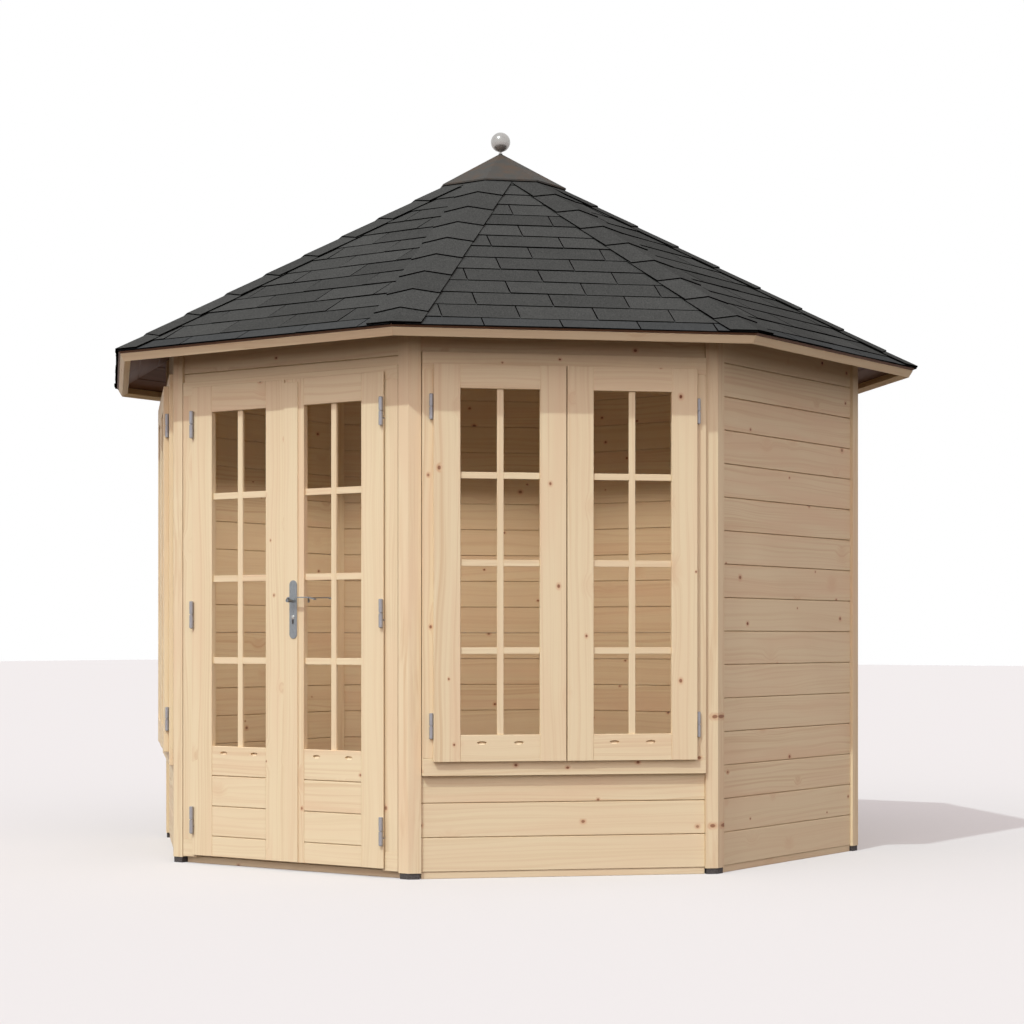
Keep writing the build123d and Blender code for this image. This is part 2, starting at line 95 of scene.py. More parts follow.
# Shader helpers
class Graph:
    def __init__(self, name):
        self.material = bpy.data.materials.new(name)
        self.start(self.material, "OutputMaterial")
        self.shader = self.add("BsdfPrincipled")
        self.links.new(self.shader.outputs[0], self.out.inputs[0])

    def start(self, owner, output):
        owner.use_nodes = True
        self.nodes, self.links = owner.node_tree.nodes, owner.node_tree.links
        self.nodes.clear()
        self.out = self.add(output)

    def put(self, value, socket):
        if isinstance(value, bpy.types.NodeSocket):
            self.links.new(value, socket)
        elif value is not None:
            socket.default_value = value

    def add(self, kind, **inputs):
        node = self.nodes.new("ShaderNode" + kind)
        for name, value in inputs.items():
            self.put(value, node.inputs[name])
        return node

    def math(self, operation, a, b=None, c=None, clamp=False):
        node = self.add("Math")
        node.operation, node.use_clamp = operation, clamp
        for value, socket in zip((a, b, c), node.inputs):
            self.put(value, socket)
        return node.outputs[0]

    def times(self, a, b):
        return self.math("MULTIPLY", a, b)

    def plus(self, a, b, clamp=False):
        return self.math("ADD", a, b, clamp=clamp)

    def scaled(self, value, scale, plus, clamp=False):
        return self.math("MULTIPLY_ADD", value, scale, plus, clamp)

    def stretch(self, vector, scale, move=(0, 0, 0)):
        return self.add("Mapping", Vector=vector, Scale=scale, Location=move).outputs[0]

    def noise(self, vector, scale=1.0, detail=2.0, roughness=0.5):
        node = self.add("TexNoise", Vector=vector, Scale=scale, Detail=detail, Roughness=roughness)
        return node.outputs[0]

    def cells(self, vector, scale, flat=True):
        node = self.add("TexVoronoi", Vector=vector, Scale=scale)
        node.voronoi_dimensions = "2D" if flat else "3D"
        return node.outputs["Distance"], node.outputs["Color"]

    def ease(self, value, low, high, start=0.0, end=1.0):
        node = self.add("MapRange")
        node.interpolation_type = "SMOOTHSTEP"
        names = ("Value", "From Min", "From Max", "To Min", "To Max")
        for v, name in zip((value, low, high, start, end), names):
            self.put(v, node.inputs[name])
        return node.outputs[0]

    def mix(self, factor, a, b, blend="MIX"):
        node = self.add("Mix")
        node.data_type, node.blend_type = "RGBA", blend
        for value, number in ((factor, 0), (a, 6), (b, 7)):
            self.put(value, node.inputs[number])
        return node.outputs[2]

    def attribute(self, name):
        node = self.add("Attribute")
        node.attribute_name = name
        return node.outputs["Vector"]

    def objectPoints(self):
        return self.add("TexCoord").outputs["Object"]

    def split(self, vector):
        return self.add("SeparateXYZ", Vector=vector).outputs

    def join(self, x, y, z):
        return self.add("CombineXYZ", X=x, Y=y, Z=z).outputs[0]

    def bump(self, height, strength, distance):
        node = self.add("Bump", Height=height, Strength=strength, Distance=distance)
        self.links.new(node.outputs[0], self.shader.inputs["Normal"])

    def surface(self, colour, roughness, specular=None, metallic=None):
        names = ("Base Color", "Roughness", "Specular IOR Level", "Metallic")
        for value, name in zip((colour, roughness, specular, metallic), names):
            self.put(value, self.shader.inputs[name])

    def seen(self):
        # 1 for what the camera sees, also in a mirror and through glass
        path = self.add("LightPath").outputs
        indirect = self.math("MAXIMUM", path["Is Glossy Ray"], path["Is Transmission Ray"])
        return self.math("MAXIMUM", path["Is Camera Ray"], indirect)

    def choose(self, factor, first, second):
        # the first shader where the factor is 0, and the second where it is 1
        node = self.add("MixShader")
        for value, socket in zip((factor, first.outputs[0], second.outputs[0]), node.inputs):
            self.put(value, socket)
        self.links.new(node.outputs[0], self.out.inputs[0])


class SkyGraph(Graph):
    def __init__(self, world):
        self.start(world, "OutputWorld")


def rgb(red, green, blue):
    # a colour as it shows on screen, 0 to 255, turned into linear light
    def line(c):
        c /= 255
        return c / 12.92 if c <= 0.04045 else ((c + 0.055) / 1.055) ** 2.4
    return (line(red), line(green), line(blue), 1.0)


# Materials
spruceFinish = {
    "pale": rgb(229, 213, 178), "late": rgb(210, 182, 143), "rosy": rgb(225, 199, 165),
    "knot": rgb(116, 64, 40), "halo": rgb(196, 132, 88),
    "roughness": 0.62, "bump": 0.25,
}
# the roof boards' copy of the spruce is darker all over: painted shade for the soffit and the ceiling under
# the roof
paintedShadeFinish = dict(spruceFinish, pale=rgb(106, 74, 52), late=rgb(84, 56, 38), rosy=rgb(98, 66, 46),
                    knot=rgb(44, 26, 17), halo=rgb(72, 44, 28))


def makeSpruce(name, finish):
    g = Graph(name)
    grain, stock = g.attribute("grain"), g.split(g.attribute("stock"))
    tone, knotShare = stock[0], stock[1]
    x, y, z = g.split(grain)
    # knots: one in some cells of a coarse grid, slightly longer along the grain
    ragged = g.noise(g.stretch(grain, (60, 60, 20)), detail=2)
    flat = g.join(g.times(x, 0.8), g.plus(y, g.times(z, 0.15)), 0.0)
    distance, cellColour = g.cells(flat, 6.4)
    chance, size, shade = g.split(cellColour)
    radius = g.scaled(size, 0.6, 0.34)
    near = g.math("DIVIDE", g.plus(distance, g.scaled(ragged, 0.02, -0.01)), radius)
    picked = g.math("LESS_THAN", chance, knotShare)
    core = g.times(g.ease(near, 0.052, 0.034), picked)
    halo = g.times(g.ease(near, 0.13, 0.035), picked)
    # pale healed knots, only a soft shade and a bend in the grain
    softFlat = g.join(g.times(x, 0.7), g.plus(y, 3.7), 0.0)
    softDistance, softColour = g.cells(softFlat, 4.6)
    softChance, softSize, softShade = g.split(softColour)
    softRadius = g.scaled(softSize, 0.7, 0.5)
    softNear = g.math("DIVIDE", g.scaled(ragged, 0.05, softDistance), softRadius)
    softPicked = g.math("LESS_THAN", softChance, g.times(knotShare, 1.5))
    healed = g.times(g.ease(softNear, 0.24, 0.06), softPicked)
    # growth rings: soft streaks that run along the board and bend round the knots
    drift = g.noise(g.stretch(grain, (1.0, 5, 5)), detail=2)
    bend = g.scaled(healed, 0.022, g.times(halo, 0.02))
    ring = g.plus(g.scaled(drift, 0.09, y), bend)
    bandVector = g.join(g.times(x, 0.55), g.times(ring, 85), g.times(z, 55))
    bands = g.noise(bandVector, detail=3, roughness=0.62)
    fibreVector = g.join(g.times(x, 9), g.times(ring, 720), g.times(z, 720))
    fibres = g.noise(fibreVector, detail=2)
    late = g.times(g.ease(bands, 0.42, 0.7), g.scaled(tone, 0.5, 0.28))
    late = g.plus(late, g.scaled(fibres, 0.16, -0.08), clamp=True)
    wood = g.mix(late, finish["pale"], finish["late"])
    broad = g.noise(g.stretch(grain, (1.6, 14, 6), (7, 3, 1)), detail=2)
    rosy = g.times(g.ease(broad, 0.36, 0.72), g.scaled(tone, 0.6, 0.2))
    wood = g.mix(rosy, wood, finish["rosy"])
    wood = g.mix(g.times(healed, g.scaled(softShade, 0.14, 0.04)), wood, finish["halo"])
    wood = g.mix(g.times(halo, 0.45), wood, finish["halo"])
    wood = g.mix(g.times(core, g.scaled(shade, 0.35, 0.62)), wood, finish["knot"])
    g.surface(wood, finish["roughness"], 0.3)
    g.bump(g.plus(bands, g.times(fibres, 0.4)), finish["bump"], 0.0008)
    return g.material


# edge and crumb: black felt of the cut bitumen, made darker still as painted shade under the tab and cap
# edges
shingleFinish = {"face": rgb(68, 70, 69), "dark": rgb(48, 50, 49), "pale": rgb(90, 92, 90),
                 "cool": rgb(60, 65, 69), "edge": rgb(7, 7, 7), "crumb": rgb(20, 20, 19), "roughness": 0.95}


def makeShingle():
    g = Graph("slateFelt")
    grain, stock = g.attribute("grain"), g.split(g.attribute("stock"))
    streak = g.noise(g.stretch(grain, (20, 260, 260)), detail=3, roughness=0.7)
    granules = g.noise(grain, scale=620, detail=2, roughness=0.7)
    patches = g.noise(grain, scale=9, detail=2)
    value = g.plus(g.times(streak, 0.55), g.times(granules, 0.45))
    face = g.mix(g.ease(value, 0.36, 0.66), shingleFinish["dark"], shingleFinish["pale"])
    face = g.mix(0.35, face, shingleFinish["face"])
    # the lowest course is a little bluer
    face = g.mix(g.times(g.ease(stock[1], 0.5, 1.0), 0.3), face, shingleFinish["cool"])
    lift = g.plus(g.scaled(stock[0], 0.22, 0.86), g.scaled(patches, 0.2, -0.1))
    face = g.mix(1.0, face, g.join(lift, lift, lift), "MULTIPLY")
    g.surface(face, shingleFinish["roughness"], 0.0)
    g.bump(value, 0.5, 0.0015)
    return g.material


# the near-black felt on tab and cap edges and on the underlay: partly black bitumen, partly painted shade
def makeBitumenWithPaintedShade():
    g = Graph("feltEdgeWithPaintedShade")
    crumbs = g.noise(g.attribute("grain"), scale=500, detail=2)
    colour = g.mix(g.ease(crumbs, 0.45, 0.8), shingleFinish["edge"], shingleFinish["crumb"])
    g.surface(colour, shingleFinish["roughness"], 0.0)
    g.bump(crumbs, 0.3, 0.001)
    return g.material


sheetFinish = {"face": rgb(74, 74, 71), "worn": rgb(84, 74, 65), "roughness": 0.75}


def makeCapSheet():
    g = Graph("foldedRoofSheet")
    place = g.objectPoints()
    clouds = g.noise(place, scale=14, detail=3)
    specks = g.noise(place, scale=180, detail=2)
    colour = g.mix(g.ease(clouds, 0.4, 0.7), sheetFinish["face"], sheetFinish["worn"])
    g.surface(colour, g.scaled(specks, 0.2, sheetFinish["roughness"] - 0.1), 0.1)
    g.bump(clouds, 0.15, 0.002)
    return g.material


def makeBall():
    g = Graph("castBall")
    clouds = g.noise(g.objectPoints(), scale=14, detail=2)
    colour = g.mix(g.ease(clouds, 0.35, 0.7), rgb(170, 169, 166), rgb(188, 186, 182))
    g.surface(colour, g.scaled(clouds, 0.18, 0.16), metallic=0.7)
    g.bump(clouds, 0.03, 0.001)
    return g.material


def makeZinc(name, tone, roughness):
    g = Graph(name)
    place = g.objectPoints()
    spangle = g.cells(place, 160, flat=False)[0]
    brushed = g.noise(g.stretch(place, (900, 900, 60)), detail=2)
    low, high = rgb(*[c - 14 for c in tone]), rgb(*[c + 10 for c in tone])
    share = g.scaled(brushed, 0.6, g.times(spangle, 0.5), clamp=True)
    g.surface(g.mix(share, low, high), g.scaled(brushed, 0.16, roughness - 0.08), metallic=0.55)
    g.bump(brushed, 0.08, 0.0004)
    return g.material


def makePad():
    g = Graph("footPad")
    crumbs = g.noise(g.objectPoints(), scale=220, detail=3)
    g.surface(g.mix(g.ease(crumbs, 0.35, 0.7), rgb(62, 58, 57), rgb(88, 84, 82)), 0.8)
    g.bump(crumbs, 0.4, 0.001)
    return g.material


def makeGlass():
    g = Graph("windowGlass")
    smear = g.noise(g.objectPoints(), scale=3, detail=2)
    g.surface((0.98, 0.985, 0.98, 1), g.times(smear, 0.02))
    g.shader.inputs["Transmission Weight"].default_value = 1.0
    g.shader.inputs["IOR"].default_value = 1.12
    path = g.add("LightPath").outputs
    unseen = g.math("MAXIMUM", path["Is Shadow Ray"], path["Is Diffuse Ray"])
    g.choose(unseen, g.shader, g.add("BsdfTransparent"))
    return g.material


spruce, paintedShadeSpruce = makeSpruce("planedSpruce", spruceFinish), makeSpruce("roofSprucePaintedShade", paintedShadeFinish)
shingle, bitumenWithPaintedShade = makeShingle(), makeBitumenWithPaintedShade()
capSheet, ballMetal, padRubber, glass = makeCapSheet(), makeBall(), makePad(), makeGlass()
zinc = makeZinc("galvanisedHinge", (160, 160, 165), 0.42)
handleMetal = makeZinc("satinHandle", (140, 145, 148), 0.3)
print("materials made")


# Timber helpers
softEdge = 1.2           # width of the rounding on most edges
softAngle = 0.4          # radians, flatter edges stay as they are
grainSpread = 30.0       # metres, how far apart two pieces may lie in the grain


def blockwork(along, out, up, filled=None):
    # a closed block from a grid of cells; filled(a, o, z) tells from a cell's middle if it is solid
    bm = bmesh.new()
    corner = {}

    def vert(i, j, k):
        if (i, j, k) not in corner:
            corner[(i, j, k)] = bm.verts.new((along[i], out[j], up[k]))
        return corner[(i, j, k)]

    size = (len(along) - 1, len(out) - 1, len(up) - 1)

    def solid(i, j, k):
        if not (0 <= i < size[0] and 0 <= j < size[1] and 0 <= k < size[2]):
            return False
        middle = ((along[i] + along[i + 1]) / 2, (out[j] + out[j + 1]) / 2, (up[k] + up[k + 1]) / 2)
        return filled is None or filled(*middle)

    for i in range(size[0]):
        for j in range(size[1]):
            for k in range(size[2]):
                if not solid(i, j, k):
                    continue
                for axis in range(3):
                    for side in (0, 1):
                        cell = [i, j, k]
                        cell[axis] += 1 if side else -1
                        if solid(*cell):
                            continue
                        base = [i, j, k]
                        base[axis] += side
                        u, v = [a for a in range(3) if a != axis]
                        ring = []
                        for du, dv in ((0, 0), (1, 0), (1, 1), (0, 1)):
                            p = list(base)
                            p[u] += du
                            p[v] += dv
                            ring.append(vert(*p))
                        bm.faces.new(ring)
    if max(size) > 1:
        bmesh.ops.dissolve_limit(bm, angle_limit=0.01, verts=bm.verts[:], edges=bm.edges[:])
    return bm


def close(bm, rings, caps=(1, -1)):
    # joins rings of vertices into a solid; caps gives the way round of the first and the last
    bm.faces.new(rings[0][::caps[0]])
    bm.faces.new(rings[-1][::caps[1]])
    for low, high in zip(rings, rings[1:]):
        for n in range(len(low)):
            m = (n + 1) % len(low)
            bm.faces.new((low[n], low[m], high[m], high[n]))


def skin(rings, caps=(1, -1)):
    bm = bmesh.new()
    close(bm, [[bm.verts.new(point) for point in ring] for ring in rings], caps)
    return bm


def prism(outline, start, end, axis):
    # a closed bar; the outline's two axes are the wall axes left when axis is taken out
    def point(at, u, v):
        return {"along": (at, u, v), "out": (u, at, v), "up": (u, v, at)}[axis]
    return skin([[point(at, u, v) for u, v in outline] for at in (start, end)])


def cut(bm, point, normal):
    # takes away what lies on the normal's side of a plane, and closes the end
    found = bmesh.ops.bisect_plane(bm, geom=bm.verts[:] + bm.edges[:] + bm.faces[:], dist=0.0001,
                                   plane_co=point, plane_no=normal, clear_outer=True)
    edges = [e for e in found["geom_cut"] if isinstance(e, bmesh.types.BMEdge)]
    bmesh.ops.holes_fill(bm, edges=edges)


def soften(bm, width):
    # takes the sharpness off the outer corners
    bmesh.ops.recalc_face_normals(bm, faces=bm.faces[:])
    edges = [e for e in bm.edges if len(e.link_faces) == 2 and e.calc_face_angle_signed(0) > softAngle
             and e.calc_length() > 2.6 * width]
    bmesh.ops.bevel(bm, geom=edges, offset=width, offset_type="OFFSET", segments=1, profile=0.5,
                    affect="EDGES", clamp_overlap=True)


def carve(bm, cutters):
    # cuts closed shapes out of a block with Blender's own boolean
    def asObject(source, name):
        bmesh.ops.recalc_face_normals(source, faces=source.faces[:])
        mesh = bpy.data.meshes.new(name)
        source.to_mesh(mesh)
        return addObject(name, mesh)
    body = asObject(bm, "carvedBlock")
    made = [body]
    for number, cutter in enumerate(cutters):
        tool = asObject(cutter, f"carvingTool{number}")
        made.append(tool)
        step = body.modifiers.new(f"cut{number}", "BOOLEAN")
        step.operation, step.solver, step.object = "DIFFERENCE", "EXACT", tool
    bpy.context.view_layer.update()
    result = bpy.data.meshes.new_from_object(body.evaluated_get(bpy.context.evaluated_depsgraph_get()))
    fresh = bmesh.new()
    fresh.from_mesh(result)
    for obj in made:
        mesh = obj.data
        bpy.data.objects.remove(obj)
        bpy.data.meshes.remove(mesh)
    bpy.data.meshes.remove(result)
    return fresh


grainAxes = {"along": (0, 2, 1), "up": (2, 0, 1), "out": (1, 0, 2)}


class Pile:
    # pieces gathered into one mesh, each with its own stretch of grain
    def __init__(self, name, seed):
        self.name, self.dice = name, random.Random(seed)
        self.points, self.faces, self.grain, self.stock, self.marks = [], [], [], [], []

    def add(self, bm, place, grain="along", knots=0.45, mark=None, edge=softEdge):
        if edge:
            soften(bm, edge)
        bmesh.ops.recalc_face_normals(bm, faces=bm.faces[:])
        shift = Vector([self.dice.uniform(-grainSpread, grainSpread) for axis in range(3)])
        stock = (self.dice.random(), knots, self.dice.random())
        order = grainAxes[grain]
        first = len(self.points)
        flip = place.determinant() < 0    # a wall's axes are left-handed, which turns the faces
        bm.verts.index_update()
        for v in bm.verts:
            local = v.co * 0.001
            self.points.append(place @ local)
            self.grain.append(Vector([local[a] for a in order]) + shift)
            self.stock.append(stock)
        for f in bm.faces:
            ring = [first + v.index for v in f.verts]
            self.faces.append(ring[::-1] if flip else ring)
            self.marks.append(mark(f) if mark else 0)
        bm.free()

    def finish(self, materials, body, slot, *replaced):
        mesh = bpy.data.meshes.new(self.name)
        mesh.from_pydata(self.points, [], self.faces)
        for title, values in (("grain", self.grain), ("stock", self.stock)):
            layer = mesh.attributes.new(title, "FLOAT_VECTOR", "POINT")
            layer.data.foreach_set("vector", [c for value in values for c in value])
        for material in materials:
            mesh.materials.append(material)
        mesh.polygons.foreach_set("material_index", self.marks)
        mesh.polygons.foreach_set("use_smooth", [False] * len(self.faces))
        mesh.update()
        piece = addObject(self.name, mesh)
        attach(piece, body)
        if replaced:
            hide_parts(*replaced)
        return piece

    def timber(self, node, body="pavilion"):
        self.finish([spruce], body, "spruce", node)


def box(pile, place, along, out, up, **how):
    pile.add(blockwork(list(along), list(out), list(up)), place, **how)


# Base frame
def makeSills():
    sizes = {"depth": 36.0, "half": 513.27, "face": 1334.5, "doorFace": 1321.0}
    pile = Pile("sillBars", 11)
    for number in range(8):
        face = sizes["face"] if number else sizes["doorFace"]
        box(pile, wallMatrix(doorWall + house["turn"] * number), (-sizes["half"], sizes["half"]),
            (face - sizes["depth"], face), (0, house["sillTop"]), knots=0.3)
    pile.timber("base_frame")


# Corner posts
def roofNormal(side):
    # of the roof face on one side of a corner that lies on the +X side
    return Vector((math.cos(halfTurn) * math.sin(slope), side * math.sin(halfTurn) * math.sin(slope),
                   math.cos(slope)))


def cutUnderRoof(bm):
    # trims a piece drawn on the +X side to the underside of the roof boards
    reach = house["eaveReach"]
    for side in (1, -1):
        point = Vector((math.cos(halfTurn) * reach, side * math.sin(halfTurn) * reach,
                        roofHeight(reach, roofUnder)))
        cut(bm, point, roofNormal(side))


def makePosts():
    sizes = {"corner": 1.5, "grooveFrom": 1318.2, "grooveTo": 1330.8, "grooveDeep": 13.3,
             "foot": 21.0, "top": 2110.0}
    names = ["post_right_back", "post_back_right", "post_back_left", "post_left_back",
             "post_left_front", "post_door_left", "post_door_right", "post_right_front"]
    face, deep = house["postFace"], sizes["grooveDeep"]
    steps = ((face, 0), (sizes["grooveTo"], 0), (sizes["grooveTo"], deep), (sizes["grooveFrom"], deep),
             (sizes["grooveFrom"], 0), (face - house["postDepth"], 0))
    nose = Vector((face / math.cos(halfTurn), 0))
    halves = []
    for side in (1, -1):
        normal = Vector((math.cos(halfTurn), side * math.sin(halfTurn)))
        along = Vector((-math.sin(halfTurn), side * math.cos(halfTurn)))
        edge = nose + along * house["postWing"]
        halves.append([edge - normal * (face - reach) - along * inside for reach, inside in steps])
    outline = [(p.x, p.y) for p in [nose] + halves[0] + halves[1][::-1]]
    for number, name in enumerate(names):
        bm = prism(outline, sizes["foot"], sizes["top"], "up")
        cutUnderRoof(bm)
        pile = Pile("cornerPost." + name, 100 + number)
        pile.add(bm, cornerMatrix(number), grain="up", knots=0.05, edge=sizes["corner"])
        pile.timber(name)


# Wall boards
boardSizes = {"joint": 3.0, "jointDeep": 8.0, "arris": 1.6, "tongueReach": 13.5, "tongueRoot": 1.0,
              "tongueThick": 12.0, "tongueGap": 0.3, "topGap": 0.2}


def boardOutline(bottom, top, back=house["boardBack"], face=house["boardFace"]):
    # section of one board, outwards and up, with the tongue of the joint above it
    deep, high, tongue = boardSizes["jointDeep"], top - boardSizes["joint"], top - boardSizes["topGap"]
    return [(back, bottom), (face, bottom), (face, high), (face - deep, high), (face - deep, tongue),
            (back + deep, tongue), (back + deep, high), (back, high)]


def boardRun(pile, place, bottom, top=None, knots=0.5):
    # boards from bottom up to a level top, or to the slope of the roof
    half, face, back = house["boardHalf"], house["boardFace"], house["boardBack"]
    gap = boardSizes["tongueGap"]
    middle, thick = (face + back) / 2, boardSizes["tongueThick"] / 2

    def limit(reach):
        return roofHeight(reach, roofUnder) if top is None else top
    number = int((bottom - house["sillTop"]) // house["course"])
    high = bottom
    while high < limit(face):
        low = max(bottom, house["sillTop"] + number * house["course"])
        number += 1
        high = house["sillTop"] + number * house["course"]
        outline = boardOutline(low, high)
        if high >= limit(face):
            high = limit(face)
            outline = [(back, low), (face, low), (face, high), (back, limit(back))]
        pile.add(prism(outline, -half, half, "along"), place, knots=knots, edge=boardSizes["arris"])
        for side in (1, -1):
            ends = spread(side, half - boardSizes["tongueRoot"], half + boardSizes["tongueReach"])
            box(pile, place, ends, (middle - thick, middle + thick), (low + gap, high - gap), edge=0)


def makeWalls():
    for number, (name, angle) in enumerate(plainWalls.items()):
        pile = Pile("wallBoards." + name, 200 + number)
        boardRun(pile, wallMatrix(angle), house["sillTop"], knots=0.32)
        pile.timber(name)
    aprons, headers = Pile("apronBoards", 220), Pile("headerBoards", 221)
    for angle in windowWalls.values():
        boardRun(aprons, wallMatrix(angle), house["sillTop"], windowSizes["bottom"], knots=0.2)
        boardRun(headers, wallMatrix(angle), windowSizes["top"], knots=0.3)
    boardRun(headers, wallMatrix(doorWall), doorSizes["top"], knots=0.3)
    aprons.timber("window_aprons")
    headers.timber("wall_headers")


# Windows
windowSizes = {
    "face": 1364.5, "depth": 58.0, "half": 511.07, "bottom": 362.0, "top": 1848.0, "jamb": 60.0, "rail": 62.0,
    "sashFace": 1384.5, "sashBack": 1344.5, "sashInner": 2.0, "sashOuter": 474.07, "bodyOuter": 448.07,
    "sashBottom": 412.0, "sashTop": 1805.0, "bodyBottom": 427.0, "bodyTop": 1783.0,
    "paneLeft": 96.0, "paneRight": 380.07, "paneBottom": 506.0, "paneTop": 1720.0,
    "glassFront": 1366.5, "rebateGap": 0.3, "rebate": 17.0, "railSet": 1.5,
    "drains": 66.0, "drainHeight": 479.0,
    "bar": 23.0, "barSet": 8.0, "barsAt": (801.0, 1109.0, 1416.0), "uprightAt": 237.0,
}


def drainCut(along, face, height):
    # a shallow half-round cut that slopes outwards from a slot under its upper edge
    cut = {"half": 17.0, "rise": 5.0, "drop": 8.0, "deep": 12.0, "least": 0.2, "over": 2.0, "taper": 0.96}
    turns = [math.pi * n / 12 for n in range(13)]
    ring = [(cut["half"] * math.cos(t), cut["rise"] * math.sin(t)) for t in turns]
    ring += [(cut["half"] * math.cos(t), -cut["drop"] * math.sin(t)) for t in turns[11:0:-1]]
    bm = bmesh.new()
    front, back = [], []
    for u, v in ring:
        # the floor of the cut rises to the face at its lower edge
        depth = cut["deep"] if v >= 0 else cut["deep"] * (1 + v / (cut["drop"] * 1.02))
        front.append(bm.verts.new((along + u, face + cut["over"], height + v)))
        back.append(bm.verts.new((along + u * cut["taper"], face - max(depth, cut["least"]), height + v)))
    close(bm, (front, back))
    bmesh.ops.triangulate(bm, faces=bm.faces[:])
    return bm


def drainPair(mirror, sizes, face):
    middle = (sizes["paneLeft"] + sizes["paneRight"]) / 2
    return [drainCut(mirror * (middle + offset), face, sizes["drainHeight"])
            for offset in (-sizes["drains"], sizes["drains"])]


def inPane(along, height, sizes):
    wide = sizes["rebate"]
    return (sizes["paneLeft"] - wide < abs(along) < sizes["paneRight"] + wide
            and sizes["paneBottom"] - wide < height < sizes["paneTop"] + wide)


def glazingBars(pile, place, mirror, sizes, face):
    # bars on the outside of the pane: one upright, three level ones between it and the frame
    half, upright = sizes["bar"] / 2, mirror * sizes["uprightAt"]
    left, right = spread(mirror, sizes["paneLeft"], sizes["paneRight"])
    layer = (sizes["glassFront"] + 0.2, face - sizes["barSet"])
    box(pile, place, (upright - half, upright + half), layer, (sizes["paneBottom"], sizes["paneTop"]),
        grain="up", knots=0.01, edge=1.0)
    for height in sizes["barsAt"]:
        for ends in ((left, upright - half), (upright + half, right)):
            box(pile, place, ends, layer, (height - half, height + half), knots=0.01, edge=1.0)


def makeWindowFrame(number, side, place):
    w = windowSizes
    layer, inner = (w["face"] - w["depth"], w["face"]), w["half"] - w["jamb"]
    low, high = w["bottom"] + w["rail"], w["top"] - w["rail"]
    pile = Pile("windowFrame." + side, 300 + number)
    for heights in ((w["bottom"], low), (high, w["top"])):
        box(pile, place, (-w["half"], w["half"]), layer, heights, knots=0.5)
    for ends in ((-w["half"], -inner), (inner, w["half"])):
        box(pile, place, ends, layer, (low, high), grain="up", knots=0.5)
    pile.timber("window_frame_" + side)


def makeSashes(number, side, place):
    w = windowSizes
    rebateFace, railFace = w["glassFront"] + w["rebateGap"], w["sashFace"] - w["railSet"]
    layers = (w["sashBack"], w["face"], rebateFace, w["sashFace"])
    low, high = w["paneBottom"] - w["rebate"], w["paneTop"] + w["rebate"]
    heights = (w["sashBottom"], w["bodyBottom"], low, high, w["bodyTop"], w["sashTop"])

    def lipped(a, o, z):
        # the lip laps over the frame; behind the glass the opening is wider all round
        if o < rebateFace and inPane(a, z, w):
            return False
        return o > w["face"] or (abs(a) < w["bodyOuter"] and w["bodyBottom"] < z < w["bodyTop"])
    pile = Pile("windowSashes." + side, 310 + number)
    for mirror in (1, -1):
        outer = spread(mirror, w["paneRight"], w["paneRight"] + w["rebate"], w["bodyOuter"], w["sashOuter"])
        inner = spread(mirror, w["sashInner"], w["paneLeft"] - w["rebate"], w["paneLeft"])
        rails = spread(mirror, w["paneLeft"], w["paneRight"])
        for stile in (outer, inner):
            pile.add(blockwork(stile, layers, heights, lipped), place, grain="up", knots=0.45)
        topHeights = (w["paneTop"], high, w["bodyTop"], w["sashTop"])
        pile.add(blockwork(rails, layers, topHeights, lipped), place, knots=0.4)
        lowHeights = (w["sashBottom"], w["bodyBottom"], low, w["paneBottom"])
        bottomRail = blockwork(rails, layers[:3] + (railFace,), lowHeights, lipped)
        soften(bottomRail, softEdge)
        pile.add(carve(bottomRail, drainPair(mirror, w, railFace)), place, knots=0.4, edge=0)
        glazingBars(pile, place, mirror, w, w["sashFace"])
    pile.timber("window_sashes_" + side)


def makeWindows():
    for number, (side, angle) in enumerate(windowWalls.items()):
        makeWindowFrame(number, side, wallMatrix(angle))
        makeSashes(number, side, wallMatrix(angle))


# Door frame
doorSizes = {
    "face": 1349.0, "back": 1291.0, "half": 511.07, "bottom": 25.0, "top": 1806.0, "opening": 443.57,
    "stop": 426.57, "stopFace": 1311.0, "openingTop": 1773.0, "stopTop": 1756.0, "threshold": 92.0,
    "leafInner": 2.5, "leafOuter": 455.57, "bodyOuter": 438.57, "leafFace": 1360.0, "lipBack": 1355.0,
    "leafBack": 1316.0, "leafFoot": 33.0, "bodyTop": 1768.0, "leafHead": 1785.0,
    "paneLeft": 91.0, "paneRight": 355.57, "paneBottom": 444.0, "paneTop": 1687.0,
    "glassFront": 1340.0, "rebateGap": 0.3, "rebate": 17.0, "panelJoints": (108.0, 220.0, 333.0),
    "panelSet": 1.0, "panelLap": 2.0, "meetingGap": 3.0, "drains": 74.5, "drainHeight": 420.0,
    "notchBack": 1348.0, "notchFace": 1365.0,
    "stripRight": 65.0, "stripFace": 1365.0, "stripBottom": 33.5, "stripTop": 1773.0,
    "bar": 24.0, "barSet": 9.0, "barsAt": (762.0, 1066.0, 1373.0), "uprightAt": 223.0,
}


hingeSizes = {"x": 450.574, "y": 1368.5, "heights": (166.0, 934.0, 1646.0), "radius": 7.5, "knuckle": 48.0,
              "split": 3.0, "pin": 3.9, "play": 0.2, "tip": 4.0, "bolt": 2.4, "inFrame": 18.0, "inLeaf": 4.0,
              "notchDrop": 24.4, "notchHalf": 4.0, "notchSide": 5.0, "notchEnd": 470.0}


